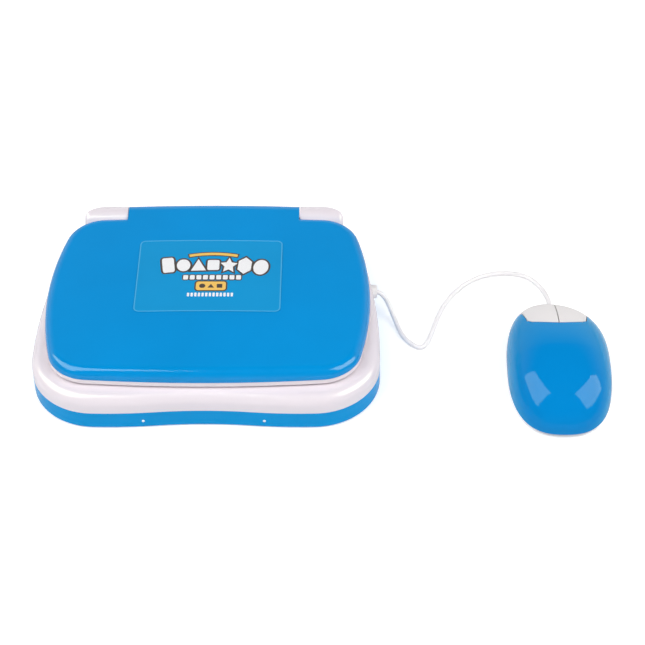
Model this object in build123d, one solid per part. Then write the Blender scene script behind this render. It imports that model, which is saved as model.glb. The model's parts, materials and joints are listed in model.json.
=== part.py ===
from build123d import *
import math
import os

# Toy laptop computer with a corded mouse.  Millimetres, +Z up, +Y towards the hinge, +X to the
# right of the person typing.  The origin is the centre of the laptop's underside plane; the
# rubber feet and the mouse's glide pads stand FOOT_PROUD below it, on the table.

# ---- base casing -------------------------------------------------------------------------
FOOT_PROUD = 0.8
WALL = 2.2
PARTING_Z = 12.6
SHUT_GAP = 0.1
DECK_Z = 25.2
SHOULDER_R = 6.5
BASE_REAR_Y = 85.0
BASE_DIP_Y = -86.7            # middle of the concave front edge
BASE_BULGE = (60.0, -89.3)    # most forward point of each front bulge
BASE_FRONT_CORNER_X = 108.2
BASE_SIDE_MID = (110.9, -44.0)
BASE_REAR_CORNER_X = 88.7
BASE_FRONT_FILLET = 42.0
BASE_REAR_FILLET = 43.0

# ---- hinge -------------------------------------------------------------------------------
HINGE_Y = 76.0
HINGE_Z = 28.7
BARREL_R = 9.9                # at the middle; the barrel tapers to BARREL_END_R at its ends
BARREL_END_R = 9.0
BARREL_HALF = 57.5
BARREL_GAP = 0.6
BARREL_HOLLOW = (45.0, 6.4)   # half length and radius of the cable space in the barrel
TAB_FRONT_Y = 50.0            # where the rear tab merges into the lid
CROWN_R = BARREL_HALF ** 2 / (2 * (BARREL_R - BARREL_END_R))
TOWER_R = 9.0
TOWER_IN_X = 58.0
TOWER_OUT_X = 87.0
TOWER_EDGE_R = 3.0
PIN_R = 2.0
PIN_FIT = 0.05
PIN_X = (47.0, 71.0)

# ---- lid ---------------------------------------------------------------------------------
BEZEL_Z = DECK_Z + 1.0
COVER_Z = BEZEL_Z + 4.0
BEZEL_PLATE = 2.0
BEZEL_REAR_Y = 65.3
COVER_CAVITY_REAR_Y = 63.5
LID_EDGE_R = 6.0
LID_FRONT_Y = -79.7
LID_FRONT_CORNER = (93.0, -75.3)
LID_SIDE_MID = (104.8, -6.0)
LID_REAR_CORNER = (91.2, 70.2)
LID_FRONT_FILLET = 27.0
LID_REAR_FILLET = 25.0
BADGE_SIZE = (94.6, 68.5)
BADGE_CENTRE = (0.0, 10.2)
BADGE_CORNER_R = 4.0
BADGE_RECESS = 0.5
BADGE_PROUD = 0.15
SCREEN_CENTRE = (0.0, 16.0)
WINDOW_SIZE = (72.0, 40.0)
SURROUND_SIZE = (150.0, 88.0)
SURROUND_DEPTH = 0.6
LCD_SIZE = (80.0, 48.0, 2.4)
LCD_BOARD_SIZE = (104.0, 58.0, 1.2)
SURROUND_CORNER_R = 8.0
WINDOW_CORNER_R = 3.0
BEZEL_EDGE_R = 1.2
CABLE_HALF_WIDTH = 6.0
CABLE_Z = (32.0, 32.6)
LID_SCREWS = [(-88.0, -56.0), (88.0, -56.0), (-86.0, 50.0), (86.0, 50.0)]

# ---- keyboard ----------------------------------------------------------------------------
WELL = (-96.0, 97.5, -48.0, 31.0)     # x low, x high, y low, y high
WELL_FLOOR_Z = 23.4
RECESS_CORNER_R = 6.0
PLATE_BOTTOM_Z = 21.8
STRIP = (-48.0, 93.0, 37.0, 59.0)     # recess for the round buttons
STRIP_FLOOR_Z = 24.0
KEY_TOP_Z = 25.9
KEY_PITCH = 15.3
KEY_SIZE = 12.6
ARROW_SIZE = 8.8
ARROW_STEP = 11.5
KEY_GAP = 0.45                        # cap to casing, all round
KEY_FLANGE = 0.75                     # retaining lip beyond the opening
FLANGE_Z = (20.9, 21.7)
KEY_TRAVEL = 1.2
KEY_CORNER_R = 2.0
KEY_EDGE_R = 0.7
BOARD_Z = (17.2, 18.4)
BOARD_MARGIN = 1.6                    # key board beyond the keyboard recesses
MAT_INSET = 1.9                       # rubber mat inside them
MAT_TOP_Z = 19.0
DOME_TOP_Z = FLANGE_Z[0] - KEY_TRAVEL - 0.1
DOME_R = 3.6
ROW_Y = {"number": 22.4, "upper": 7.1, "home": -8.2, "lower": -23.5, "space": -38.8}
LETTER_X0 = -86.0
SIDE_X = (69.5, 92.0)                 # block of wide keys right of the letters
SIDE_MID_X = (SIDE_X[0] + SIDE_X[1]) / 2
ROUND_R = 5.6
ROUND_Y = 48.0
ROUND_X0 = -38.0
ROUND_PITCH = 15.0

# ---- inside the base ---------------------------------------------------------------------
SPEAKER_CENTRE = (-72.0, 48.8)
SPEAKER_R = 15.0
GRILLE_RINGS = 3
GRILLE_HOLE_R = 1.1
GRILLE_STEP = 3.5                      # spacing of the grille's rings
CASE_SCREWS = [(-88.0, -62.0), (88.0, -62.0), (-103.0, -4.0), (103.0, -4.0), (-83.0, 65.0), (83.0, 65.0)]
FEET = [(-70.0, -70.0), (70.0, -70.0), (-64.0, 70.0), (64.0, 70.0)]
FOOT_R = 5.0
CELL_R = 5.25
CELL_LENGTH = 44.5
CELL_PITCH = 12.4
BAY = (52.0, 40.0)
BAY_CENTRE_Y = 38.0
DOOR_THICK = 1.8
DOOR_GAP = 0.3
DOOR_TONGUE_Y = 14.6
TONGUE_HALF_WIDTH = 5.4
TONGUE_REACH = 3.4            # tongue beyond its screw
BAY_WALL = 1.6
FLOOR_EDGE_R = 0.9
PIP = (38.0, 0.95, 5.4)       # moulded pip in the blue band: across, behind the bulge's tip, up
MAIN_BOARD = (130.0, 46.0, 1.6)
MAIN_BOARD_CENTRE = (0.0, -52.0)
MAIN_BOARD_Z = 4.5
SCREW_R = 1.4
SCREW_FIT = 0.06
SCREW_HEAD_R = 2.7
SCREW_HEAD_H = 1.55
LID_SCREW_GRIP = 4.5                   # how far a lid screw reaches into the cover's boss
CASE_SCREW_GRIP = 7.0
SCREW_WELL_Z = 5.0                     # seat of the case screws' heads
BOSS_R = 3.4
FLOOR_BOSS_R = 4.4

# ---- cord and mouse ----------------------------------------------------------------------
CORD_R = 1.6
CORD_EXIT = (105.4, 16.7, 18.0)
CORD_TABLE_Z = 1.1
BUSH_R = 4.5
MOUSE_X = 226.0
MOUSE_MID_Y = -42.0           # widest station
MOUSE_HALF_WIDTH = 33.2
MOUSE_REAR = 56.5             # middle to rear tip
MOUSE_FRONT = 54.0            # middle to front tip
MOUSE_REAR_POWER = 2.6        # bluntness of the plan: 2 is an ellipse
MOUSE_FRONT_POWER = 2.5
MOUSE_PEAK_Y = -48.0
MOUSE_TOP_Z = 33.2
MOUSE_SKIRT_Z = 3.2           # lowest edge of the blue shell
MOUSE_WALL = 2.0
MOUSE_NOSE_YAW = -8.0         # how far the stations turn towards the nose
MOUSE_BUTTON_Y = -24.2        # rearmost point of the bowed joint between shell and buttons
MOUSE_BUTTON_BOW = 3.4
MOUSE_BUTTON_X = (-20.0, 18.6)        # sides of the bowed joint
MOUSE_BUTTON_CORNER = 3.0
MOUSE_EAR_LEFT = (-22.4, -2.8)        # tips of the two blue ears
MOUSE_EAR_RIGHT = (20.2, -7.1)
MOUSE_BUTTON_BOTTOM_Z = 5.0
MOUSE_BUTTON_GAP = 0.4
MOUSE_SLIT = 0.6
MOUSE_ARCH_POWER = 2.5                # bluntness of a section
MOUSE_BOARD_Z = (5.5, 6.7)
MOUSE_SWITCH = (9.0, -6.0)            # to each side of the middle, and along
MOUSE_BLOCK_HALF = 5.0                # block in the base that grips the cord bush
MOUSE_BUSH_R = 3.0
MOUSE_CORD = (224.6, 8.6, 4.3)
GLIDE_R = 4.0
GLIDES = [(-17.0, -85.0), (17.0, -85.0), (-15.0, -6.0), (15.0, -6.0)]
MOUSE_SCREWS = [(0.0, -80.0), (0.0, -30.0)]

BIG = 400.0
UP = (0, 0, 1)


# ---- helpers -----------------------------------------------------------------------------
def arc(a, mid, b):
    """Circular edge through three points."""
    return Edge.make_three_point_arc(Vector(*a), Vector(*mid), Vector(*b))


def line(a, b):
    """Straight edge."""
    return Edge.make_line(Vector(*a), Vector(*b))


def prism(face, z_low, z_high):
    """A flat face drawn at z = 0, raised to a solid between two levels."""
    return Pos(0, 0, z_low) * extrude(face, amount=z_high - z_low, dir=UP)


def block(x0, x1, y0, y1, z0, z1):
    """Axis-aligned box from its limits."""
    return Pos(x0, y0, z0) * Box(x1 - x0, y1 - y0, z1 - z0, align=(Align.MIN, Align.MIN, Align.MIN))


def post(x, y, z0, z1, radius):
    """Upright cylinder between two levels."""
    return Pos(x, y, z0) * Cylinder(radius, z1 - z0, align=(Align.CENTER, Align.CENTER, Align.MIN))


def rod(y, z, x0, x1, radius):
    """Cylinder along X."""
    upright = Cylinder(radius, x1 - x0, align=(Align.CENTER, Align.CENTER, Align.MIN))
    return Pos(x0, y, z) * Rot(0, 90, 0) * upright


def rounded(width, depth, radius):
    """Rounded rectangle face about the origin."""
    return RectangleRounded(width, depth, radius)


def mirrored(solid):
    """The solid with its twin on the other side of the YZ plane."""
    return [solid, mirror(solid, about=Plane.YZ)]


def top_edges(solid, above):
    """Edges that lie wholly above a level."""
    return [e for e in solid.edges() if e.bounding_box().min.Z > above]


def save(name, shapes):
    """Write one node: one solid, or a group of separate solids."""
    if not isinstance(shapes, list):
        shapes = [shapes]
    solids = [s for shape in shapes for s in shape.solids()]
    export_step(Compound(children=solids), "parts/" + name + ".step")


def screw(x, y, z_low, z_tip, head_r=SCREW_HEAD_R, head_h=SCREW_HEAD_H, shank_r=SCREW_R, slot_depth=0.7):
    """Pan-head screw pointing up, with a cross slot in the underside of its head."""
    body = post(x, y, z_low, z_low + head_h, head_r) + post(x, y, z_low + head_h - 0.05, z_tip, shank_r)
    reach, half = head_r * 0.6, 0.3
    body -= block(x - reach, x + reach, y - half, y + half, z_low - 1, z_low + slot_depth)
    return body - block(x - half, x + half, y - reach, y + reach, z_low - 1, z_low + slot_depth)


# ---- outlines ----------------------------------------------------------------------------
def base_outline(grow=0.0):
    """Base casing in plan: wavy front, bowed sides, straight rear edge, round corners."""
    bulge_x, bulge_y = BASE_BULGE
    wave_r = (bulge_x ** 2 / (BASE_DIP_Y - bulge_y) + (BASE_DIP_Y - bulge_y)) / 4
    turn_x, turn_y = bulge_x / 2, (BASE_DIP_Y + bulge_y) / 2
    corner_y = bulge_y + wave_r - math.sqrt(wave_r ** 2 - (BASE_FRONT_CORNER_X - bulge_x) ** 2)
    front_r = (BASE_FRONT_CORNER_X, corner_y)
    front_l = (-BASE_FRONT_CORNER_X, corner_y)
    rear_r = (BASE_REAR_CORNER_X, BASE_REAR_Y)
    rear_l = (-BASE_REAR_CORNER_X, BASE_REAR_Y)
    edges = [
        arc((-turn_x, turn_y), (0, BASE_DIP_Y), (turn_x, turn_y)),
        arc((turn_x, turn_y), (bulge_x, bulge_y), front_r),
        arc(front_r, BASE_SIDE_MID, rear_r),
        line(rear_r, rear_l),
        arc(rear_l, (-BASE_SIDE_MID[0], BASE_SIDE_MID[1]), front_l),
        arc(front_l, (-bulge_x, bulge_y), (-turn_x, turn_y)),
    ]
    face = Face(Wire(edges))
    front = [v for v in face.vertices() if abs(v.X) > turn_x + 1 and v.Y < 0]
    face = face.fillet_2d(BASE_FRONT_FILLET, front)
    rear = [v for v in face.vertices() if abs(abs(v.X) - rear_r[0]) < 0.1 and v.Y > BASE_REAR_Y - 0.1]
    face = face.fillet_2d(BASE_REAR_FILLET, rear)
    return offset(face, amount=grow) if grow else face


def lid_outline(grow=0.0):
    """Lid in plan, without its rear tab: four bowed sides and round corners, moved out by grow."""
    front_x, front_y = LID_FRONT_CORNER[0] + grow, LID_FRONT_CORNER[1] - grow
    rear_x, rear_y = LID_REAR_CORNER[0] + grow, LID_REAR_CORNER[1] + grow
    side_x, side_y = LID_SIDE_MID[0] + grow, LID_SIDE_MID[1]
    edges = [
        arc((-front_x, front_y), (0, LID_FRONT_Y - grow), (front_x, front_y)),
        arc((front_x, front_y), (side_x, side_y), (rear_x, rear_y)),
        line((rear_x, rear_y), (-rear_x, rear_y)),
        arc((-rear_x, rear_y), (-side_x, side_y), (-front_x, front_y)),
    ]
    face = Face(Wire(edges))
    face = face.fillet_2d(LID_FRONT_FILLET + grow, [v for v in face.vertices() if v.Y < 0])
    return face.fillet_2d(LID_REAR_FILLET + grow, [v for v in face.vertices() if v.Y > rear_y - 0.1])


def crown_height(x, drop=0.0):
    """Height of the lid's crowned top, or of a surface drop below it."""
    return HINGE_Z + BARREL_R - drop - (CROWN_R - math.sqrt(CROWN_R ** 2 - x ** 2))


def crown_prism(drop, z_low, y_low=-BIG / 2, y_high=BIG / 2, half_width=130.0):
    """Everything under the crowned surface, between two Y planes."""
    left = (-half_width, y_low, crown_height(half_width, drop))
    right = (half_width, y_low, crown_height(half_width, drop))
    low_l = (-half_width, y_low, z_low)
    low_r = (half_width, y_low, z_low)
    middle = (0, y_low, crown_height(0, drop))
    face = Face(Wire([arc(left, middle, right), line(right, low_r), line(low_r, low_l), line(low_l, left)]))
    return extrude(face, amount=y_high - y_low, dir=(0, 1, 0))


def barrel(grow, half, sweep=360.0):
    """Crowned drum about the hinge axis, swept from its front round under to its rear and top."""
    end_r = BARREL_END_R + grow
    mid_r = BARREL_R + grow
    a = (-half, HINGE_Y, HINGE_Z)
    b = (half, HINGE_Y, HINGE_Z)
    c = (half, HINGE_Y - end_r, HINGE_Z)
    d = (-half, HINGE_Y - end_r, HINGE_Z)
    face = Face(Wire([line(a, b), line(b, c), arc(c, (0, HINGE_Y - mid_r, HINGE_Z), d), line(d, a)]))
    return revolve(face, axis=Axis((0, HINGE_Y, HINGE_Z), (1, 0, 0)), revolution_arc=sweep)


# ---- keyboard layout ---------------------------------------------------------------------
def letter_row(row, count, shift):
    """Centres and sizes of one row of equal square keys."""
    y = ROW_Y[row]
    return [(LETTER_X0 + KEY_PITCH * (i + shift), y, KEY_SIZE, KEY_SIZE) for i in range(count)]


def key_layout():
    """Every rectangular key: node name to a list of (x, y, width, depth)."""
    side_w = SIDE_X[1] - SIDE_X[0]
    enter_y = (ROW_Y["upper"] + ROW_Y["home"]) / 2
    shift_x = LETTER_X0 + KEY_PITCH * 0.25
    space_x = LETTER_X0 + KEY_PITCH * 4.5
    return {
        "number_keys": letter_row("number", 10, 0.0),
        "upper_letter_keys": letter_row("upper", 10, 0.0),
        "home_letter_keys": letter_row("home", 9, 0.5),
        "lower_letter_keys": letter_row("lower", 7, 1.5),
        "shift_key": [(shift_x, ROW_Y["lower"], KEY_SIZE * 1.5, KEY_SIZE)],
        "space_bar": [(space_x, ROW_Y["space"], KEY_PITCH * 5 - 2.7, KEY_SIZE)],
        "delete_key": [(SIDE_MID_X, ROW_Y["number"], side_w, KEY_SIZE)],
        "enter_key": [(SIDE_MID_X, enter_y, side_w, KEY_PITCH + KEY_SIZE)],
        "arrow_up_key": [(SIDE_MID_X, ROW_Y["lower"] - 1.5, ARROW_SIZE, ARROW_SIZE)],
        "arrow_left_key": [(SIDE_MID_X - ARROW_STEP, ROW_Y["space"] + 1.0, ARROW_SIZE, ARROW_SIZE)],
        "arrow_down_key": [(SIDE_MID_X, ROW_Y["space"] + 1.0, ARROW_SIZE, ARROW_SIZE)],
        "arrow_right_key": [(SIDE_MID_X + ARROW_STEP, ROW_Y["space"] + 1.0, ARROW_SIZE, ARROW_SIZE)],
    }


def round_layout():
    """Every round button: node name to its centre."""
    names = ["music", "letters", "numbers", "puzzle", "memory", "drawing"]
    places = {name + "_button": (ROUND_X0 + ROUND_PITCH * i, ROUND_Y) for i, name in enumerate(names)}
    places["volume_down_button"] = (SIDE_X[0] - ROUND_PITCH - 0.5, ROUND_Y)
    places["volume_up_button"] = (SIDE_X[0] - 0.5, ROUND_Y)
    places["power_button"] = (SIDE_X[1] - 6.0, ROUND_Y)
    return places


def keycap(x, y, width, depth):
    """Square cap with a soft top edge, on a retaining flange under the plate."""
    cap = prism(rounded(width, depth, KEY_CORNER_R), FLANGE_Z[0], KEY_TOP_Z)
    cap = fillet(top_edges(cap, KEY_TOP_Z - 0.01), KEY_EDGE_R)
    lip = 2 * (KEY_GAP + KEY_FLANGE)
    flange = prism(rounded(width + lip, depth + lip, KEY_CORNER_R), *FLANGE_Z)
    return Pos(x, y, 0) * (cap + flange)


def round_button(x, y):
    """Round cap with a soft top edge, on a retaining flange under the plate."""
    cap = post(0, 0, FLANGE_Z[0], KEY_TOP_Z, ROUND_R)
    cap = fillet(top_edges(cap, KEY_TOP_Z - 0.01), KEY_EDGE_R)
    flange = post(0, 0, FLANGE_Z[0], FLANGE_Z[1], ROUND_R + KEY_GAP + KEY_FLANGE)
    return Pos(x, y, 0) * (cap + flange)


def key_openings():
    """Holes in the casing for every cap and button."""
    cuts = []
    for keys in key_layout().values():
        for x, y, width, depth in keys:
            face = rounded(width + 2 * KEY_GAP, depth + 2 * KEY_GAP, KEY_CORNER_R + KEY_GAP)
            cuts.append(Pos(x, y, 0) * prism(face, PLATE_BOTTOM_Z - 1, DECK_Z + 1))
    for x, y in round_layout().values():
        cuts.append(post(x, y, PLATE_BOTTOM_Z - 1, DECK_Z + 1, ROUND_R + KEY_GAP))
    return cuts


# ---- lid ---------------------------------------------------------------------------------
def lid_screw_boss(x, y):
    """Boss inside the cover for one lid screw."""
    return post(x, y, COVER_Z + 0.1, crown_height(x, WALL / 2), BOSS_R)


def lid_cover():
    """Blue crowned shell with the rear tab and the hinge barrel."""
    slab = prism(lid_outline(), COVER_Z, BIG / 4) & crown_prism(0, COVER_Z)
    slab = fillet(top_edges(slab, COVER_Z + 2), LID_EDGE_R)
    tab = block(-BARREL_HALF, BARREL_HALF, TAB_FRONT_Y, HINGE_Y, COVER_Z - 2, BIG / 4)
    tab = tab & crown_prism(0, COVER_Z, TAB_FRONT_Y, HINGE_Y)
    cavity = prism(lid_outline(-WALL), COVER_Z - 1, BIG / 4) & crown_prism(WALL, COVER_Z - 1)
    cavity = cavity & block(-BIG, BIG, -BIG, COVER_CAVITY_REAR_Y, 0, BIG)
    shell = slab + tab - cavity
    clearance = rod(HINGE_Y, HINGE_Z, BARREL_HALF, BARREL_HALF + 60, TOWER_R + BARREL_GAP)
    for cut in mirrored(clearance):
        shell -= cut
    shell += barrel(0, BARREL_HALF, 270)
    for x, y in LID_SCREWS:
        shell += lid_screw_boss(x, y)
        shell -= post(x, y, COVER_Z, COVER_Z + LID_SCREW_GRIP + 0.5, SCREW_R + SCREW_FIT)
    shell -= rod(HINGE_Y, HINGE_Z, -BARREL_HOLLOW[0], BARREL_HOLLOW[0], BARREL_HOLLOW[1])
    shell -= rod(HINGE_Y, HINGE_Z, -BIG, BIG, PIN_R + 0.02)
    slot_half = CABLE_HALF_WIDTH + 1.5
    slot_low, slot_high = CABLE_Z[0] - 0.8, CABLE_Z[1] + 0.8
    shell -= block(-slot_half, slot_half, COVER_CAVITY_REAR_Y - 1, HINGE_Y - 4, slot_low, slot_high)
    shell -= badge_prism(0.1) - crown_prism(BADGE_RECESS, 0)
    return shell


def badge_prism(grow):
    """Upright prism on the badge's outline."""
    face = rounded(BADGE_SIZE[0] + 2 * grow, BADGE_SIZE[1] + 2 * grow, BADGE_CORNER_R + grow)
    return Pos(BADGE_CENTRE[0], BADGE_CENTRE[1], 0) * prism(face, COVER_Z, BIG / 4)


def lid_badge():
    """Thin clear label that follows the crown and stands just proud of it."""
    return (badge_prism(0) & crown_prism(-BADGE_PROUD, 0)) - crown_prism(BADGE_RECESS, 0)


def lid_bezel():
    """White lower half of the lid: a tray with the screen opening."""
    tray = prism(lid_outline(), BEZEL_Z, COVER_Z - SHUT_GAP)
    tray = fillet([e for e in tray.edges() if e.bounding_box().max.Z < BEZEL_Z + 0.01], BEZEL_EDGE_R)
    pocket = prism(lid_outline(-WALL), BEZEL_Z + BEZEL_PLATE, COVER_Z + 1)
    pocket = pocket & block(-BIG, BIG, -BIG, BEZEL_REAR_Y - WALL, 0, BIG)
    tray -= pocket
    tray = tray & block(-BIG, BIG, -BIG, BEZEL_REAR_Y, 0, BIG)
    screen = Pos(SCREEN_CENTRE[0], SCREEN_CENTRE[1], 0)
    surround = rounded(SURROUND_SIZE[0] + 0.4, SURROUND_SIZE[1] + 0.4, SURROUND_CORNER_R + 0.2)
    tray -= screen * prism(surround, BEZEL_Z - 1, BEZEL_Z + SURROUND_DEPTH)
    tray -= screen * prism(rounded(WINDOW_SIZE[0], WINDOW_SIZE[1], WINDOW_CORNER_R), BEZEL_Z - 1, COVER_Z)
    for x, y in lcd_posts():
        tray += post(x, y, BEZEL_Z + BEZEL_PLATE - 0.5, lcd_board_z() - 0.05, 2.6)
    for x, y in LID_SCREWS:
        tray += post(x, y, BEZEL_Z + 1, COVER_Z, 4.2)
        tray -= post(x, y, BEZEL_Z - 1, BEZEL_Z + 2.0, SCREW_HEAD_R + 0.4)
        tray -= post(x, y, BEZEL_Z, COVER_Z + 1, SCREW_R + 0.3)
    return tray


def lcd_board_z():
    """Underside of the display board."""
    return BEZEL_Z + BEZEL_PLATE + 0.1 + LCD_SIZE[2] + 1.2


def lcd_posts():
    """Where the display board stands on the bezel."""
    half_w, half_d = LCD_BOARD_SIZE[0] / 2 - 4, LCD_BOARD_SIZE[1] / 2 - 4
    x, y = SCREEN_CENTRE
    return [(x + sx * half_w, y + sy * half_d) for sx in (-1, 1) for sy in (-1, 1)]


def screen_surround():
    """Printed card let into the bezel round the window."""
    outline = rounded(SURROUND_SIZE[0], SURROUND_SIZE[1], SURROUND_CORNER_R)
    opening = rounded(WINDOW_SIZE[0] + 0.2, WINDOW_SIZE[1] + 0.2, WINDOW_CORNER_R)
    card = prism(outline, BEZEL_Z + 0.15, BEZEL_Z + 0.55) - prism(opening, BEZEL_Z, BEZEL_Z + 1)
    return Pos(SCREEN_CENTRE[0], SCREEN_CENTRE[1], 0) * card


def screen_window():
    """Clear lens in the bezel's opening."""
    lens = rounded(WINDOW_SIZE[0] - 0.4, WINDOW_SIZE[1] - 0.4, WINDOW_CORNER_R - 0.2)
    low = BEZEL_Z + 0.3
    return Pos(SCREEN_CENTRE[0], SCREEN_CENTRE[1], 0) * prism(lens, low, BEZEL_Z + BEZEL_PLATE)


def lcd_glass():
    """Display glass on the back of the bezel."""
    low = BEZEL_Z + BEZEL_PLATE + 0.1
    x, y = SCREEN_CENTRE
    return Pos(x, y, low) * Box(*LCD_SIZE, align=(Align.CENTER, Align.CENTER, Align.MIN))


def connector_strips():
    """Rubber strips that join the display glass to its board."""
    low = BEZEL_Z + BEZEL_PLATE + 0.15 + LCD_SIZE[2]
    high = lcd_board_z() - 0.05
    x = SCREEN_CENTRE[0]
    strips = []
    for side in (-1, 1):
        y = SCREEN_CENTRE[1] + side * (LCD_SIZE[1] / 2 - 2)
        strips.append(block(x - 36, x + 36, y - 1.1, y + 1.1, low, high))
    return strips


def lcd_board():
    """Display board with its driver chip."""
    x, y = SCREEN_CENTRE
    low = lcd_board_z()
    board = Pos(x, y, low) * Box(*LCD_BOARD_SIZE, align=(Align.CENTER, Align.CENTER, Align.MIN))
    chip = block(x - 7, x + 7, y - 7, y + 7, low + LCD_BOARD_SIZE[2], low + LCD_BOARD_SIZE[2] + 1.2)
    return board + chip


def display_cable():
    """Flat cable from the display board into the hinge barrel."""
    rear = SCREEN_CENTRE[1] + LCD_BOARD_SIZE[1] / 2
    return block(-CABLE_HALF_WIDTH, CABLE_HALF_WIDTH, rear + 0.1, HINGE_Y - 1, *CABLE_Z)


def lid_screws():
    """Screws from the bezel's face into the cover."""
    return [screw(x, y, BEZEL_Z + 0.4, COVER_Z + LID_SCREW_GRIP) for x, y in LID_SCREWS]


def lid_buffers():
    """Soft pads on the bezel that meet the deck."""
    return mirrored(post(60, -68, DECK_Z + 0.2, BEZEL_Z - 0.02, 2.5))


def hinge_pins():
    """Steel pins fixed in the barrel and turning in the towers."""
    return mirrored(rod(HINGE_Y, HINGE_Z, PIN_X[0], PIN_X[1], PIN_R))


# ---- base --------------------------------------------------------------------------------
def tower():
    """Right hinge tower: rounded over the hinge axis, its outer end following the casing."""
    column = block(TOWER_IN_X, TOWER_OUT_X, HINGE_Y - TOWER_R, BASE_REAR_Y, PARTING_Z + SHUT_GAP, HINGE_Z)
    solid = column + rod(HINGE_Y, HINGE_Z, TOWER_IN_X, TOWER_OUT_X, TOWER_R)
    solid = solid & prism(base_outline(), PARTING_Z + SHUT_GAP, BIG / 4)
    outer = [
        e for e in solid.edges()
        if e.bounding_box().min.X > TOWER_IN_X + 1 and e.bounding_box().min.Z > HINGE_Z - 1
    ]
    return fillet(outer, TOWER_EDGE_R)


def top_case():
    """White upper shell: shoulder, hinge towers, keyboard plate, grille and cord outlet."""
    low = PARTING_Z + SHUT_GAP
    body = prism(base_outline(), low, DECK_Z)
    body = fillet(top_edges(body, DECK_Z - 0.01), SHOULDER_R)
    for part in mirrored(tower()):
        body += part
    cavity = prism(base_outline(-WALL), low - 1, DECK_Z - WALL)
    cavity = fillet(top_edges(cavity, DECK_Z - WALL - 0.01), SHOULDER_R - WALL)
    well_plate, strip_plate = [
        block(x0 - WALL, x1 + WALL, y0 - WALL, y1 + WALL, PLATE_BOTTOM_Z, DECK_Z)
        for x0, x1, y0, y1 in (WELL, STRIP)
    ]
    trough = rod(HINGE_Y, HINGE_Z, -TOWER_OUT_X, TOWER_OUT_X, BARREL_R + BARREL_GAP + 1.8)
    body -= cavity - well_plate - strip_plate - trough
    hollow = block(TOWER_IN_X + 4, TOWER_OUT_X - 7, HINGE_Y - 6, HINGE_Y + 2.5, low - 1, HINGE_Z - 3)
    for cut in mirrored(hollow):
        body -= cut
    body -= barrel(BARREL_GAP, TOWER_IN_X)
    body -= rod(HINGE_Y, HINGE_Z, -PIN_X[1] - 1, PIN_X[1] + 1, PIN_R + PIN_FIT)
    body -= recess(WELL, WELL_FLOOR_Z)
    body -= recess(STRIP, STRIP_FLOOR_Z)
    for cut in key_openings() + grille():
        body -= cut
    for x, y in CASE_SCREWS:
        body += post(x, y, low + 1.6, DECK_Z - WALL + 0.5, BOSS_R)
        body -= post(x, y, low, low + CASE_SCREW_GRIP + 1.0, SCREW_R + SCREW_FIT)
    for x, y in board_posts():
        body += post(x, y, BOARD_Z[1] + 0.05, PLATE_BOTTOM_Z + 0.5, 1.4)
    return body - rod(CORD_EXIT[1], CORD_EXIT[2], CORD_EXIT[0] - 8, BIG, BUSH_R + 0.1)


def recess(limits, floor_z):
    """Shallow rounded pocket in the deck."""
    x0, x1, y0, y1 = limits
    face = rounded(x1 - x0, y1 - y0, RECESS_CORNER_R)
    return Pos((x0 + x1) / 2, (y0 + y1) / 2, 0) * prism(face, floor_z, DECK_Z + 1)


def grille():
    """Rings of round holes over the speaker."""
    x0, y0 = SPEAKER_CENTRE
    holes = [post(x0, y0, PLATE_BOTTOM_Z, DECK_Z + 1, GRILLE_HOLE_R)]
    for ring in range(1, GRILLE_RINGS + 1):
        for i in range(6 * ring):
            angle = math.radians(360 / (6 * ring) * i)
            x = x0 + GRILLE_STEP * ring * math.cos(angle)
            y = y0 + GRILLE_STEP * ring * math.sin(angle)
            holes.append(post(x, y, PLATE_BOTTOM_Z, DECK_Z + 1, GRILLE_HOLE_R))
    return holes


def board_posts():
    """Posts that hang the key board under the keyboard plate."""
    front = [(x, WELL[2]) for x in (-80, -20, 40, 92)]
    rear = [(x, STRIP[3] - 0.1) for x in (-20, 40)]
    return front + rear + [(-80, WELL[3] + 0.6)]


def bottom_case():
    """Blue lower shell: floor, battery bay, bosses and sockets for the feet."""
    body = prism(base_outline(), 0, PARTING_Z)
    body = fillet([e for e in body.edges() if e.bounding_box().max.Z < 0.01], FLOOR_EDGE_R)
    body -= prism(base_outline(-WALL), WALL, PARTING_Z + 1)
    bay_x, bay_y = BAY[0] / 2, BAY[1] / 2
    bay_top = WALL + 2 * CELL_R + 0.8
    body += block(-bay_x - BAY_WALL, bay_x + BAY_WALL, BAY_CENTRE_Y - bay_y - BAY_WALL,
                  BAY_CENTRE_Y + bay_y + BAY_WALL, WALL / 2, bay_top + 1.4)
    body -= block(-bay_x, bay_x, BAY_CENTRE_Y - bay_y, BAY_CENTRE_Y + bay_y, -1, bay_top)
    tongue_low = DOOR_TONGUE_Y - TONGUE_REACH
    tongue_half = TONGUE_HALF_WIDTH + 0.4
    body += post(0, DOOR_TONGUE_Y, WALL / 2, 7, 4.0)
    body -= block(-tongue_half, tongue_half, tongue_low - DOOR_GAP, BAY_CENTRE_Y - bay_y + 1.0,
                  -1, DOOR_THICK + 0.1)
    body -= post(0, DOOR_TONGUE_Y, 0, 6, SCREW_R + 0.4)
    for x, y in CASE_SCREWS:
        body += post(x, y, WALL / 2, PARTING_Z, FLOOR_BOSS_R)
        body -= post(x, y, -1, SCREW_WELL_Z, SCREW_HEAD_R + 0.5)
        body -= post(x, y, 0, PARTING_Z + 2, SCREW_R + 0.3)
    for x, y in FEET:
        body -= post(x, y, -1, 0.7, FOOT_R + 0.1)
    for x, y in main_board_posts():
        body += post(x, y, WALL / 2, MAIN_BOARD_Z - 0.05, 3.0)
    for pip in mirrored(Pos(PIP[0], BASE_BULGE[1] + PIP[1], PIP[2]) * Sphere(0.9)):
        body += pip
    return body


def main_board_posts():
    """Where the main board stands on the floor."""
    half_w, half_d = MAIN_BOARD[0] / 2 - 5, MAIN_BOARD[1] / 2 - 5
    x, y = MAIN_BOARD_CENTRE
    return [(x + sx * half_w, y + sy * half_d) for sx in (-1, 1) for sy in (-1, 1)]


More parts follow.
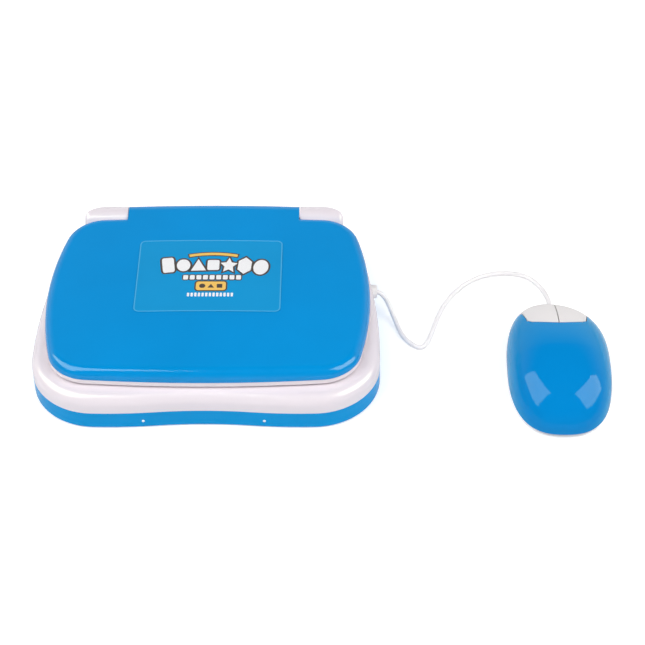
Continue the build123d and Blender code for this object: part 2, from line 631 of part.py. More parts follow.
def case_screws():
    """Screws from the underside into the top casing."""
    head_z = SCREW_WELL_Z - 0.05 - SCREW_HEAD_H
    return [screw(x, y, head_z, PARTING_Z + CASE_SCREW_GRIP) for x, y in CASE_SCREWS]


def rubber_feet():
    """Four round pads that the laptop stands on."""
    feet = []
    for x, y in FEET:
        foot = post(x, y, -FOOT_PROUD, 0.65, FOOT_R)
        low = [e for e in foot.edges() if e.bounding_box().max.Z < 0]
        feet.append(fillet(low, 0.3))
    return feet


def battery_door():
    """Flush door: round rear edge on the hinge line, tongue for the screw at the front."""
    half_x = BAY[0] / 2 - DOOR_GAP
    front = BAY_CENTRE_Y - BAY[1] / 2 + DOOR_GAP
    rear = BAY_CENTRE_Y + BAY[1] / 2 - DOOR_GAP
    edge_r = DOOR_THICK / 2
    plate = block(-half_x, half_x, front, rear - edge_r, 0, DOOR_THICK)
    plate += rod(rear - edge_r, edge_r, -half_x, half_x, edge_r)
    tongue_low = DOOR_TONGUE_Y - TONGUE_REACH
    plate += block(-TONGUE_HALF_WIDTH, TONGUE_HALF_WIDTH, tongue_low, front + 1, 0, DOOR_THICK)
    for i in range(5):
        groove_y = front + 5 + 2.4 * i
        plate -= block(-8, 8, groove_y, groove_y + 1.0, -1, 0.5)
    plate -= post(0, DOOR_TONGUE_Y, -1, 1.1, 2.4)
    return plate - post(0, DOOR_TONGUE_Y, -1, DOOR_THICK + 1, 1.45)


def battery_door_screw():
    """Captive screw in the door's tongue."""
    return screw(0, DOOR_TONGUE_Y, 0.15, 4.2, head_r=2.2, head_h=0.9, shank_r=1.3, slot_depth=0.45)


def cell_rows():
    """Centre line of each cell and the way its button faces."""
    return [(BAY_CENTRE_Y + CELL_PITCH * i, 1 if i % 2 else -1) for i in (-1, 0, 1)]


def batteries():
    """Three AAA cells lying side by side."""
    cells = []
    z = WALL + CELL_R + 0.1
    half = CELL_LENGTH / 2
    for y, way in cell_rows():
        can = rod(y, z, -half if way > 0 else -half + 1, half - 1 if way > 0 else half, CELL_R)
        can = fillet([e for e in can.edges() if e.geom_type == GeomType.CIRCLE], 0.4)
        button = rod(y, z, half - 1.2, half, 1.9) if way > 0 else rod(y, z, -half, -half + 1.2, 1.9)
        cells.append(can + button)
    return cells


def battery_contacts():
    """A plate with a sprung dome at each end of each cell."""
    contacts = []
    z = WALL + CELL_R + 0.1
    outer = BAY[0] / 2 - 0.1
    for y, _ in cell_rows():
        for side in (-1, 1):
            x0, x1 = sorted((side * outer, side * (outer - 0.5)))
            plate = block(x0, x1, y - 4.2, y + 4.2, z - 4.2, z + 4.2)
            tip = outer - 0.5 - 2.6
            inner, root = sorted((side * tip, side * (outer - 0.3)))
            contacts.append(plate + rod(y, z, inner, root, 2.2))
    return contacts


def main_board():
    """Main circuit board in the palm-rest space."""
    x, y = MAIN_BOARD_CENTRE
    return Pos(x, y, MAIN_BOARD_Z) * Box(*MAIN_BOARD, align=(Align.CENTER, Align.CENTER, Align.MIN))


def main_board_components():
    """Chip blob, memory, capacitors and connectors on the main board."""
    x, y = MAIN_BOARD_CENTRE
    top = MAIN_BOARD_Z + MAIN_BOARD[2]
    blob = Pos(x, y, top) * (Sphere(9.0) & block(-20, 20, -20, 20, 6.4, 10))
    blob = Pos(0, 0, -6.4) * blob
    parts = [blob, block(x + 22, x + 36, y - 6, y + 6, top, top + 1.8)]
    for i in range(3):
        can_x = x - 50 + 9 * i
        parts.append(post(can_x, y + 10, top, top + 6.5, 3.0))
    for i in range(2):
        parts.append(block(x + 44, x + 52, y - 12 + 14 * i, y - 4 + 14 * i, top, top + 4.5))
    parts.append(block(x - 30, x - 20, y - 12, y - 8, top, top + 3.2))
    return parts


def key_area(shrink):
    """Plan of the board and the mat: keyboard well plus button strip."""
    low = block(WELL[0] + shrink, WELL[1] - shrink, WELL[2] + shrink, WELL[3] - shrink, 0, 1)
    right = STRIP[1] - max(shrink, 0.5)
    high = block(STRIP[0] + shrink, right, WELL[3] - shrink - 1, STRIP[3] - shrink, 0, 1)
    return low + high


def sheet(shrink, z_low, z_high):
    """A flat sheet on the key area's plan."""
    face = key_area(shrink).faces().sort_by(Axis.Z)[0]
    return extrude(face, amount=z_high - z_low, dir=UP).moved(Location((0, 0, z_low)))


def key_board():
    """Circuit board under the whole keyboard."""
    return sheet(-BOARD_MARGIN, *BOARD_Z)


def key_mat():
    """Rubber mat with a dome under every key, drawn at its pressed height."""
    mat = sheet(MAT_INSET, BOARD_Z[1] + 0.02, MAT_TOP_Z)
    for keys in key_layout().values():
        for x, y, width, _ in keys:
            spread = [-width / 3, width / 3] if width > 2 * KEY_SIZE else [0]
            for shift in spread:
                mat += post(x + shift, y, MAT_TOP_Z - 0.1, DOME_TOP_Z, DOME_R)
    for x, y in round_layout().values():
        mat += post(x, y, MAT_TOP_Z - 0.1, DOME_TOP_Z, DOME_R)
    return mat


def speaker():
    """Speaker frame with its magnet."""
    x, y = SPEAKER_CENTRE
    rim = post(x, y, 20.6, 22.6, SPEAKER_R) - post(x, y, 20, 23, SPEAKER_R - 2.5)
    basket = post(x, y, 15.0, 20.6, SPEAKER_R - 0.6) - post(x, y, 16.2, 21, SPEAKER_R - 2.5)
    magnet = post(x, y, 9.5, 15.2, 10.0)
    return rim + basket + magnet


def speaker_cone():
    """Paper cone inside the speaker frame."""
    outer = Cone(4.0, SPEAKER_R - 2.8, 4.6, align=(Align.CENTER, Align.CENTER, Align.MIN))
    inner = Cone(3.4, SPEAKER_R - 3.4, 4.6, align=(Align.CENTER, Align.CENTER, Align.MIN))
    cone = outer - Pos(0, 0, 0.5) * inner
    return Pos(SPEAKER_CENTRE[0], SPEAKER_CENTRE[1], 17.4) * cone


def wire(points, bend=1.2):
    """Round insulated wire along a bent line."""
    path = FilletPolyline(*points, radius=bend)
    start = Plane(origin=path @ 0, z_dir=path % 0)
    return sweep(start * Circle(0.6), path=path)


def wiring():
    """Leads from the speaker, the cells and the mouse cord to the main board."""
    board_top = MAIN_BOARD_Z + MAIN_BOARD[2]
    sx, sy = SPEAKER_CENTRE
    leads = []
    for i in range(2):
        shift = 3.0 * i
        leads.append(wire([(sx - 4 + shift, sy - 12, 13), (sx - 4 + shift, sy - 30, 13),
                           (sx - 4 + shift, -45, 10), (-58 + shift, -45, 10),
                           (-58 + shift, -45, board_top + 0.1)]))
        leads.append(wire([(-28 - shift, 44, 9), (-36 - shift, 44, 9), (-36 - shift, -34, 9),
                           (-36 - shift, -34, board_top + 0.1)]))
        leads.append(wire([(CORD_EXIT[0] - 2.6, CORD_EXIT[1] + shift / 3 - 0.6, CORD_EXIT[2]),
                           (98 - shift, CORD_EXIT[1] + shift / 3 - 0.6, 12), (98 - shift, -36 - shift, 12),
                           (50 - shift, -36 - shift, 12), (50 - shift, -36 - shift, board_top + 0.1)]))
    return leads


def flare(throat, mouth, length):
    """Trumpet-shaped space about +X from a throat to a mouth."""
    return Rot(0, 90, 0) * Cone(throat, mouth, length, align=(Align.CENTER, Align.CENTER, Align.MIN))


def cord_bush():
    """Ring in the casing's side that the mouse cord leaves through."""
    x, y, z = CORD_EXIT
    ring = rod(y, z, x - 2.5, x + 4.2, BUSH_R)
    ring = fillet([e for e in ring.edges() if e.bounding_box().min.X > x + 4], 1.0)
    ring -= Pos(x - 0.1, y, z) * flare(CORD_R + 0.25, 3.3, 4.5)
    return ring - Pos(x + 0.1, y, z) * Rot(0, 0, 180) * flare(CORD_R + 0.25, 2.6, 3.0)


# ---- cord --------------------------------------------------------------------------------
def mouse_cord():
    """Round cord: out of the casing, down to the table, a hook forward, an arch to the mouse."""
    x, y, z = CORD_EXIT
    flat = CORD_TABLE_Z
    mx, my, mz = MOUSE_CORD
    points = [
        (x - 1.6, y, z), (x + 1.6, y, z - 0.02), (x + 5.6, y - 0.3, z - 0.9), (116.4, 14.4, 10.8),
        (120.8, 7.0, 3.7),
        (124.2, -2.2, flat + 0.15), (129.2, -12.4, flat), (138.0, -18.6, flat), (144.6, -8.0, flat),
        (150.4, 11.0, flat), (164.3, 36.4, flat), (180.0, 49.0, flat), (196.5, 52.8, flat),
        (211.6, 48.8, flat), (220.4, 37.4, flat + 0.2), (mx - 0.5, 24.0, mz - 1.4), (mx, my + 5.0, mz - 0.1),
        (mx, my - 1.6, mz),
    ]
    path = Spline(*points)
    return sweep(Plane(origin=path @ 0, z_dir=path % 0) * Circle(CORD_R), path=path)


# ---- mouse -------------------------------------------------------------------------------
def mouse_half_width(y):
    """Half width of the mouse in plan at a station: blunt at the rear, elliptic at the nose."""
    if y < MOUSE_MID_Y:
        reach, power = (MOUSE_MID_Y - y) / MOUSE_REAR, MOUSE_REAR_POWER
    else:
        reach, power = (y - MOUSE_MID_Y) / MOUSE_FRONT, MOUSE_FRONT_POWER
    return MOUSE_HALF_WIDTH * (1 - reach ** power) ** (1 / power)


def mouse_height(y):
    """Top of the mouse at a station: a round back, a long slope to the nose."""
    rear_tip = MOUSE_MID_Y - MOUSE_REAR
    nose_tip = MOUSE_MID_Y + MOUSE_FRONT
    if y < MOUSE_PEAK_Y:
        reach, power, floor = (MOUSE_PEAK_Y - y) / (MOUSE_PEAK_Y - rear_tip), 2.0, MOUSE_SKIRT_Z + 1.0
    else:
        reach, power, floor = (y - MOUSE_PEAK_Y) / (nose_tip - MOUSE_PEAK_Y), 1.5, MOUSE_SKIRT_Z + 6.0
    return floor + (MOUSE_TOP_Z - floor) * (1 - reach ** power) ** (1 / power)


def mouse_yaw(y):
    """The stations turn towards the nose, so the left front reaches further than the right."""
    reach = max(0.0, (y - MOUSE_MID_Y) / MOUSE_FRONT)
    return MOUSE_NOSE_YAW * reach


def mouse_section(y, inset):
    """Arched face across the mouse at a station."""
    half = mouse_half_width(y) - inset
    rise = mouse_height(y) - inset - MOUSE_SKIRT_Z
    bow = 2 / MOUSE_ARCH_POWER
    count = 8
    arch = []
    for i in range(count + 1):
        angle = math.pi * i / count
        c, s = math.cos(angle), math.sin(angle)
        arch.append((math.copysign(abs(c) ** bow, c) * half, 0, MOUSE_SKIRT_Z + abs(s) ** bow * rise))
    top = Edge.make_spline([Vector(*p) for p in arch], tangents=[Vector(0, 0, 1), Vector(0, 0, -1)])
    face = Face(Wire([top, line(arch[-1], arch[0])]))
    return Pos(MOUSE_X, y, 0) * Rot(0, 0, mouse_yaw(y)) * face


def mouse_body(inset=0.0):
    """The whole dome of the mouse as one solid, or the space inside it."""
    reaches = [0.992, 0.95, 0.85, 0.65, 0.35]
    trim = inset / MOUSE_REAR
    rear = [MOUSE_MID_Y - MOUSE_REAR * (r - trim) for r in reaches]
    front = [MOUSE_MID_Y + MOUSE_FRONT * (r - trim) for r in reversed(reaches)]
    return loft([mouse_section(y, inset) for y in rear + [MOUSE_MID_Y] + front])


def button_zone(shrink):
    """Upright prism over the two buttons: bowed rear edge, sides running to the ear tips."""
    left, right = MOUSE_BUTTON_X[0] + shrink, MOUSE_BUTTON_X[1] - shrink
    rear = MOUSE_BUTTON_Y + shrink
    side = rear + MOUSE_BUTTON_BOW
    ear_l = (MOUSE_EAR_LEFT[0] + shrink, MOUSE_EAR_LEFT[1] + shrink)
    ear_r = (MOUSE_EAR_RIGHT[0] - shrink, MOUSE_EAR_RIGHT[1] + shrink)
    corner = MOUSE_BUTTON_CORNER
    beyond = MOUSE_HALF_WIDTH + 12
    outline = [
        arc((left + corner, side), ((left + right) / 2, rear), (right - corner, side)),
        line((right - corner, side), (right, side + corner)),
        line((right, side + corner), ear_r),
        line(ear_r, (beyond, ear_r[1])),
        line((beyond, ear_r[1]), (beyond, beyond)),
        line((beyond, beyond), (-beyond, beyond)),
        line((-beyond, beyond), (-beyond, ear_l[1])),
        line((-beyond, ear_l[1]), ear_l),
        line(ear_l, (left, side + corner)),
        line((left, side + corner), (left + corner, side)),
    ]
    return Pos(MOUSE_X, 0, 0) * prism(Face(Wire(outline)), MOUSE_SKIRT_Z - 1, BIG / 4)


def mouse_nose():
    """Space kept clear round the cord bush, with room for the buttons to sink."""
    half = MOUSE_BLOCK_HALF + 0.6
    return block(MOUSE_CORD[0] - half, MOUSE_CORD[0] + half, -1, BIG, 0, 2 * MOUSE_CORD[2] + 1.2)


def mouse_shell(outer, inner):
    """Blue dome with the two ears beside the buttons, and its screw bosses."""
    shell = outer - button_zone(0) - inner
    for x, y in MOUSE_SCREWS:
        boss = post(MOUSE_X + x, y, MOUSE_SKIRT_Z + 1.0, 28, 3.0) & outer
        shell += boss
        shell -= post(MOUSE_X + x, y, MOUSE_SKIRT_Z, 16, SCREW_R + SCREW_FIT)
    return shell


def mouse_button(outer, inner, side):
    """One of the two white front buttons with the post that meets its switch."""
    low, high = sorted((MOUSE_X + side * MOUSE_SLIT / 2, MOUSE_X + side * BIG))
    half = button_zone(MOUSE_BUTTON_GAP) & block(low, high, -BIG / 2, BIG / 2, MOUSE_BUTTON_BOTTOM_Z, BIG / 2)
    cap = (outer & half) - inner - mouse_nose()
    across, along = MOUSE_SWITCH
    return cap + (post(MOUSE_X + side * across, along, 12.8, 22, 1.8) & outer)


def mouse_plan(grow):
    """Plan of the mouse at its skirt, moved out by grow: the half-width rule, sampled evenly round it."""
    points = []
    count = 16
    scale = 1 + grow / MOUSE_HALF_WIDTH
    for side in (1, -1):
        for i in range(count):
            reach = side * math.sin(math.pi * (i + 0.5) / count - math.pi / 2)
            length = MOUSE_FRONT if reach > 0 else MOUSE_REAR
            station = MOUSE_MID_Y + reach * length
            y = MOUSE_MID_Y + reach * (length + grow)
            yaw = math.radians(mouse_yaw(station))
            x = side * mouse_half_width(station) * scale
            points.append(Vector(MOUSE_X + x * math.cos(yaw), y + x * math.sin(yaw)))
    return Face(Wire([Edge.make_spline(points, periodic=True)]))


def mouse_base():
    """White base plate with the block that holds the cord bush."""
    plate = prism(mouse_plan(-1.6), 0, MOUSE_SKIRT_Z - 0.1)
    plate -= prism(mouse_plan(-5.0), 2.0, 10)
    x, y, z = MOUSE_CORD
    plate += block(x - MOUSE_BLOCK_HALF, x + MOUSE_BLOCK_HALF, 1.0, y + 0.4, 1, 2 * z - 0.6)
    for sx, sy in MOUSE_SCREWS:
        plate += post(MOUSE_X + sx, sy, 1, MOUSE_SKIRT_Z + 0.9, 4.0)
        plate -= post(MOUSE_X + sx, sy, -1, 2.4, SCREW_HEAD_R + 0.3)
        plate -= post(MOUSE_X + sx, sy, -1, 8, SCREW_R + 0.3)
    for gx, gy in GLIDES:
        plate -= post(MOUSE_X + gx, gy, -1, 0.6, GLIDE_R + 0.1)
    for bx in (-14, 14):
        for by in (-62, -36):
            plate += post(MOUSE_X + bx, by, 1.5, MOUSE_BOARD_Z[0] - 0.05, 2.2)
    return plate - Pos(x, 0, z) * Rot(-90, 0, 0) * Cylinder(MOUSE_BUSH_R + 0.1, 30)


def mouse_cord_bush():
    """Ring in the mouse's nose that the cord enters through."""
    x, y, z = MOUSE_CORD
    ring = rod(0, 0, -5.2, 2.6, MOUSE_BUSH_R)
    ring -= Pos(-0.1, 0, 0) * flare(CORD_R + 0.2, 2.7, 3.0)
    ring -= Pos(0.1, 0, 0) * Rot(0, 0, 180) * flare(CORD_R + 0.2, 2.6, 6.0)
    return Pos(x, y, z) * Rot(0, 0, 90) * ring


def mouse_board():
    """Mouse circuit board with its sensor."""
    low, top = MOUSE_BOARD_Z
    step_y = -27.5
    board = block(MOUSE_X - 17, MOUSE_X + 17, -66, step_y, low, top)
    board += block(MOUSE_X - 13, MOUSE_X + 13, step_y, 0, low, top)
    board -= post(MOUSE_X, MOUSE_SCREWS[1][1], low - 1, top + 1, 3.6)
    return board + block(MOUSE_X - 6, MOUSE_X + 6, -54, -42, top, top + 3.3)


def mouse_switches():
    """Two click switches under the buttons."""
    switches = []
    low = MOUSE_BOARD_Z[1] + 0.05
    for side in (-1, 1):
        x, y = MOUSE_X + side * MOUSE_SWITCH[0], MOUSE_SWITCH[1]
        switches.append(block(x - 3, x + 3, y - 3, y + 3, low, 11.0) + post(x, y, 10.9, 12.0, 1.4))
    return switches


def mouse_glides():
    """Slippery pads under the mouse."""
    return [post(MOUSE_X + x, y, -FOOT_PROUD, 0.55, GLIDE_R) for x, y in GLIDES]


def mouse_screws():
    """Screws that join the mouse base to its shell."""
    return [screw(MOUSE_X + x, y, 2.35 - SCREW_HEAD_H, 15.0) for x, y in MOUSE_SCREWS]


# ---- write every node --------------------------------------------------------------------
os.makedirs("parts", exist_ok=True)

lid_nodes = [lid_cover, lid_badge, lid_bezel, screen_surround, screen_window, lcd_glass, connector_strips,
             lcd_board, display_cable, lid_screws, lid_buffers, hinge_pins]
base_nodes = [top_case, bottom_case, case_screws, rubber_feet, batteries, battery_contacts, main_board,
              main_board_components, key_board, key_mat, speaker, speaker_cone, wiring, cord_bush]
other_nodes = [battery_door, battery_door_screw, mouse_cord, mouse_base, mouse_cord_bush, mouse_board,
               mouse_switches, mouse_glides, mouse_screws]
for make in lid_nodes + base_nodes + other_nodes:
    save(make.__name__, make())

dome, hollow_space = mouse_body(), mouse_body(MOUSE_WALL)
save("mouse_shell", mouse_shell(dome, hollow_space))
save("mouse_left_button", mouse_button(dome, hollow_space, -1))
save("mouse_right_button", mouse_button(dome, hollow_space, 1))

for node, keys in key_layout().items():
    save(node, [keycap(*key) for key in keys])
for node, place in round_layout().items():
    save(node, round_button(*place))
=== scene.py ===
import json
import math

import bmesh
import bpy
from mathutils import Matrix, Vector
from mathutils.bvhtree import BVHTree


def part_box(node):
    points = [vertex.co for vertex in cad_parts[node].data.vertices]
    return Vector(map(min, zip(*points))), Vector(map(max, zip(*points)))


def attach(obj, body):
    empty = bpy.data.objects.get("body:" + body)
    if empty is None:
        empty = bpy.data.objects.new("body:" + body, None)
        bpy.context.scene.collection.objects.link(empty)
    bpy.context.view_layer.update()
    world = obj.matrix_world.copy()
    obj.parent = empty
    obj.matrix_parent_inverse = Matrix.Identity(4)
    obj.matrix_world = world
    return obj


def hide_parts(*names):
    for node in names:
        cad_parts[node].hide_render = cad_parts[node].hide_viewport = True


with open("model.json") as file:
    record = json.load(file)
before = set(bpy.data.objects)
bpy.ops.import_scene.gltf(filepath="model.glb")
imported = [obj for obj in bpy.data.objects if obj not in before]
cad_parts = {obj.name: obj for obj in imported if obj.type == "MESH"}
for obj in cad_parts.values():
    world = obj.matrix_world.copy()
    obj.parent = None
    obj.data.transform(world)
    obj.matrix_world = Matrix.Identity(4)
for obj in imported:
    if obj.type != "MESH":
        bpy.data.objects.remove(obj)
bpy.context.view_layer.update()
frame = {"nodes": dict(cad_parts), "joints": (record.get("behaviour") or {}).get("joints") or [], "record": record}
MM = 0.001
NODES = frame["nodes"]


# ---- node helpers for procedural materials ---------------------------------------------------
class Shader:
    """A material under construction: adds nodes and links them by name."""

    def __init__(self, name):
        self.material = bpy.data.materials.new(name)
        self.material.use_nodes = True
        self.tree = self.material.node_tree
        self.bsdf = self.tree.nodes["Principled BSDF"]
        self.coords = self.add("ShaderNodeTexCoord").outputs["Object"]

    def add(self, kind, **settings):
        node = self.tree.nodes.new(kind)
        for key, value in settings.items():
            setattr(node, key, value)
        return node

    def link(self, source, target):
        self.tree.links.new(source, target)

    def set(self, **values):
        """Principled inputs by name, with underscores for spaces."""
        for key, value in values.items():
            self.bsdf.inputs[key.replace("_", " ")].default_value = value

    def noise(self, scale, detail=2.0, roughness=0.5, source=None):
        node = self.add("ShaderNodeTexNoise")
        node.inputs["Scale"].default_value = scale
        node.inputs["Detail"].default_value = detail
        node.inputs["Roughness"].default_value = roughness
        self.link(source or self.coords, node.inputs["Vector"])
        return node.outputs["Fac"]

    def ramp(self, source, stops):
        node = self.add("ShaderNodeValToRGB")
        elements = node.color_ramp.elements
        while len(elements) < len(stops):
            elements.new(0.5)
        for element, (place, colour) in zip(elements, stops):
            element.position = place
            element.color = (*colour, 1.0)
        self.link(source, node.inputs["Fac"])
        return node.outputs["Color"]

    def spread(self, source, low, high):
        """A 0..1 value mapped to low..high."""
        node = self.add("ShaderNodeMapRange")
        node.inputs["To Min"].default_value = low
        node.inputs["To Max"].default_value = high
        self.link(source, node.inputs["Value"])
        return node.outputs["Result"]

    def bump(self, source, strength, distance):
        node = self.add("ShaderNodeBump")
        node.inputs["Strength"].default_value = strength
        node.inputs["Distance"].default_value = distance
        self.link(source, node.inputs["Height"])
        if self.bsdf.inputs["Normal"].links:
            self.link(self.bsdf.inputs["Normal"].links[0].from_socket, node.inputs["Normal"])
        self.link(node.outputs["Normal"], self.bsdf.inputs["Normal"])

    def colour(self, socket):
        self.link(socket, self.bsdf.inputs["Base Color"])

    def rough(self, socket):
        self.link(socket, self.bsdf.inputs["Roughness"])


def tint(colour, factor):
    return tuple(min(1.0, c * factor) for c in colour)


def moulded(name, colour, roughness, coat=0.0, grain=0.0, mottle=0.04, orange_peel=0.02, shine=0.5,
            edge=None):
    """Moulded plastic: faint flow mottling, uneven gloss, orange peel or a spark-eroded grain.

    With an edge colour, the plastic takes it where it turns away from the eye: a painted sheen, lighter along the
    rims.
    """
    s = Shader(name)
    flow = s.noise(14.0, 3.0)
    if edge:
        # edge colour: painted sheen, mixed in by how far the surface faces away from the eye
        turned = s.add("ShaderNodeMath", operation="MULTIPLY_ADD")
        s.link(flow, turned.inputs[0])
        turned.inputs[1].default_value = 0.1
        s.link(s.add("ShaderNodeLayerWeight").outputs["Facing"], turned.inputs[2])
        s.colour(s.ramp(turned.outputs["Value"], [(0.40, colour), (0.90, edge)]))
    else:
        s.colour(s.ramp(flow, [(0.3, tint(colour, 1 - mottle)), (0.7, tint(colour, 1 + mottle))]))
    wipe = s.noise(60.0, 5.0, 0.7)
    s.rough(s.spread(wipe, roughness * 0.85, roughness * 1.2))
    s.set(IOR=1.5, Coat_Weight=coat, Coat_Roughness=0.02, Specular_IOR_Level=shine)
    if orange_peel:
        s.bump(s.noise(320.0, 2.0), orange_peel, 0.0002)
    if grain:
        s.bump(s.noise(2600.0, 2.0, 0.6), grain, 0.00012)
    return s


def build_materials():
    """One procedural material for each material slot of the record."""
    m = {}
    # mouse blue: its edge colour paints a lighter, greener sheen along the dome's rims
    m["mouse_blue"] = moulded("mouse_blue", (0.001, 0.232, 0.600), 0.06, coat=0.10, shine=0.06,
                              edge=(0.002, 0.300, 0.600))
    m["blue_gloss"] = moulded("blue_gloss", (0.001, 0.262, 0.635), 0.10, coat=0.07, shine=0.20)
    m["band_blue"] = moulded("band_blue", (0.001, 0.300, 0.680), 0.16, coat=0.04, shine=0.08)
    m["white_gloss"] = moulded("white_gloss", (0.795, 0.732, 0.780), 0.24, coat=0.10, mottle=0.012, shine=0.4)
    m["white_matte"] = moulded("white_matte", (0.780, 0.770, 0.800), 0.42, grain=0.08, mottle=0.012)
    m["button_white"] = moulded("button_white", (0.800, 0.765, 0.765), 0.38, grain=0.05, mottle=0.015)
    m["cord_grey"] = moulded("cord_grey", (0.860, 0.835, 0.850), 0.45, grain=0.05, mottle=0.02, shine=0.3)
    m["grey_rubber"] = moulded("grey_rubber", (0.110, 0.115, 0.125), 0.75, grain=0.25, mottle=0.10)
    m["mat_rubber"] = moulded("mat_rubber", (0.420, 0.440, 0.470), 0.70, grain=0.15, mottle=0.06)
    m["black_plastic"] = moulded("black_plastic", (0.028, 0.028, 0.031), 0.50, grain=0.20, mottle=0.10)
    m["glide_plastic"] = moulded("glide_plastic", (0.090, 0.090, 0.095), 0.35, mottle=0.08)
    m["wire_plastic"] = moulded("wire_plastic", (0.480, 0.028, 0.025), 0.35, mottle=0.08)
    keys = {
        "key_white": (0.800, 0.795, 0.820),
        "key_red": (0.690, 0.040, 0.045),
        "key_orange": (0.860, 0.270, 0.030),
        "key_yellow": (0.900, 0.620, 0.045),
        "key_green": (0.070, 0.480, 0.110),
        "key_violet": (0.300, 0.110, 0.520),
    }
    for name, colour in keys.items():
        m[name] = moulded(name, colour, 0.36, coat=0.1, grain=0.06, mottle=0.02)
    inks = {
        "ink_white": (0.830, 0.830, 0.845),
        "ink_dark": (0.060, 0.045, 0.040),
        "ink_blue": (0.010, 0.085, 0.330),
        "ink_yellow": (0.830, 0.510, 0.115),
    }
    for name, colour in inks.items():
        m[name] = ink_material(name, colour)
    # badge lip: a lighter blue that paints the highlight along the label's edge
    m["badge_lip"] = moulded("badge_lip", (0.060, 0.400, 0.720), 0.18, coat=0.3, orange_peel=0.0)
    m["badge_clear"] = badge_material()
    m["printed_card"] = card_material()
    m["clear_lens"] = lens_material()
    m["display_glass"] = display_material()
    m["circuit_board"] = board_material()
    m["cable_film"] = film_material()
    m["screw_steel"] = metal_material("screw_steel", (0.560, 0.565, 0.575), 0.32)
    m["pin_steel"] = metal_material("pin_steel", (0.640, 0.645, 0.655), 0.22)
    m["contact_metal"] = metal_material("contact_metal", (0.720, 0.715, 0.700), 0.18)
    m["speaker_metal"] = metal_material("speaker_metal", (0.380, 0.385, 0.395), 0.40)
    m["cell_jacket"] = cell_material()
    m["cone_paper"] = moulded("cone_paper", (0.045, 0.045, 0.050), 0.85, grain=0.5, mottle=0.2)
    return {name: s.material for name, s in m.items()}


def ink_material(name, colour):
    """Screen-printed ink: fine dot structure and slightly uneven cover."""
    s = Shader(name)
    dots = s.add("ShaderNodeTexVoronoi")
    dots.inputs["Scale"].default_value = 4000.0
    s.link(s.coords, dots.inputs["Vector"])
    s.colour(s.ramp(dots.outputs["Distance"], [(0.2, tint(colour, 0.93)), (0.6, tint(colour, 1.04))]))
    s.rough(s.spread(s.noise(150.0, 3.0), 0.28, 0.42))
    s.bump(dots.outputs["Distance"], 0.04, 0.00005)
    return s


def badge_material():
    """Clear printed label over the blue cover: a shade lighter, very glossy."""
    return moulded("badge_clear", (0.006, 0.290, 0.620), 0.07, coat=0.12, orange_peel=0.01, shine=0.28)


def card_material():
    """Printed card round the display: warm orange with a fine print screen."""
    s = Shader("printed_card")
    s.colour(s.ramp(s.noise(30.0, 2.0), [(0.3, (0.82, 0.42, 0.04)), (0.7, (0.90, 0.50, 0.06))]))
    s.set(Roughness=0.45)
    s.bump(s.noise(1800.0, 2.0), 0.08, 0.0001)
    return s


def lens_material():
    """Clear window with faint haze."""
    s = Shader("clear_lens")
    s.set(Base_Color=(0.92, 0.96, 0.97, 1), Transmission_Weight=0.9, IOR=1.46)
    s.rough(s.spread(s.noise(90.0, 4.0), 0.02, 0.07))
    return s


def display_material():
    """Grey-green reflective display glass with faint cell lines."""
    s = Shader("display_glass")
    brick = s.add("ShaderNodeTexBrick", offset=0.0)
    s.link(s.coords, brick.inputs["Vector"])
    for key, value in {"Scale": 1000.0, "Mortar Size": 0.06, "Brick Width": 0.9, "Row Height": 0.9}.items():
        brick.inputs[key].default_value = value
    brick.inputs["Color1"].default_value = (0.300, 0.350, 0.240, 1)
    brick.inputs["Color2"].default_value = (0.290, 0.340, 0.235, 1)
    brick.inputs["Mortar"].default_value = (0.335, 0.385, 0.270, 1)
    s.colour(brick.outputs["Color"])
    s.set(Roughness=0.22, Coat_Weight=0.4, Coat_Roughness=0.05)
    s.bump(s.noise(700.0), 0.02, 0.0001)
    return s


def board_material():
    """Green solder mask with copper traces showing through."""
    s = Shader("circuit_board")
    cells = s.add("ShaderNodeTexVoronoi", feature="DISTANCE_TO_EDGE")
    cells.inputs["Scale"].default_value = 180.0
    s.link(s.coords, cells.inputs["Vector"])
    trace = s.ramp(cells.outputs["Distance"], [(0.06, (0.05, 0.30, 0.10)), (0.09, (0.015, 0.13, 0.045))])
    s.colour(trace)
    s.set(Roughness=0.35, Coat_Weight=0.3)
    s.bump(cells.outputs["Distance"], 0.1, 0.0002)
    return s


def film_material():
    """Amber flat cable with parallel conductors."""
    s = Shader("cable_film")
    wave = s.add("ShaderNodeTexWave", bands_direction="X")
    wave.inputs["Scale"].default_value = 160.0
    s.link(s.coords, wave.inputs["Vector"])
    s.colour(s.ramp(wave.outputs["Fac"], [(0.4, (0.40, 0.17, 0.03)), (0.6, (0.62, 0.38, 0.14))]))
    s.set(Roughness=0.3)
    s.bump(wave.outputs["Fac"], 0.2, 0.0001)
    return s


def metal_material(name, colour, roughness):
    """Drawn or stamped metal with fine directional scratches."""
    s = Shader(name)
    stretch = s.add("ShaderNodeMapping")
    stretch.inputs["Scale"].default_value = (1.0, 1.0, 12.0)
    s.link(s.coords, stretch.inputs["Vector"])
    scratch = s.noise(900.0, 4.0, 0.7, stretch.outputs["Vector"])
    s.colour(s.ramp(scratch, [(0.3, tint(colour, 0.85)), (0.7, tint(colour, 1.08))]))
    s.rough(s.spread(scratch, roughness * 0.8, roughness * 1.3))
    s.set(Metallic=1.0)
    s.bump(scratch, 0.12, 0.0001)
    return s


def cell_material():
    """Battery jacket: black sleeve with one copper-coloured end band."""
    s = Shader("cell_jacket")
    split = s.add("ShaderNodeSeparateXYZ")
    s.link(s.coords, split.inputs["Vector"])
    band = s.spread(split.outputs["X"], 0.5, 1.5)
    s.colour(s.ramp(band, [(0.513, (0.03, 0.03, 0.035)), (0.514, (0.55, 0.28, 0.09))]))
    s.set(Roughness=0.25, Coat_Weight=0.4)
    s.bump(s.noise(500.0), 0.03, 0.0001)
    return s


MATERIALS = build_materials()


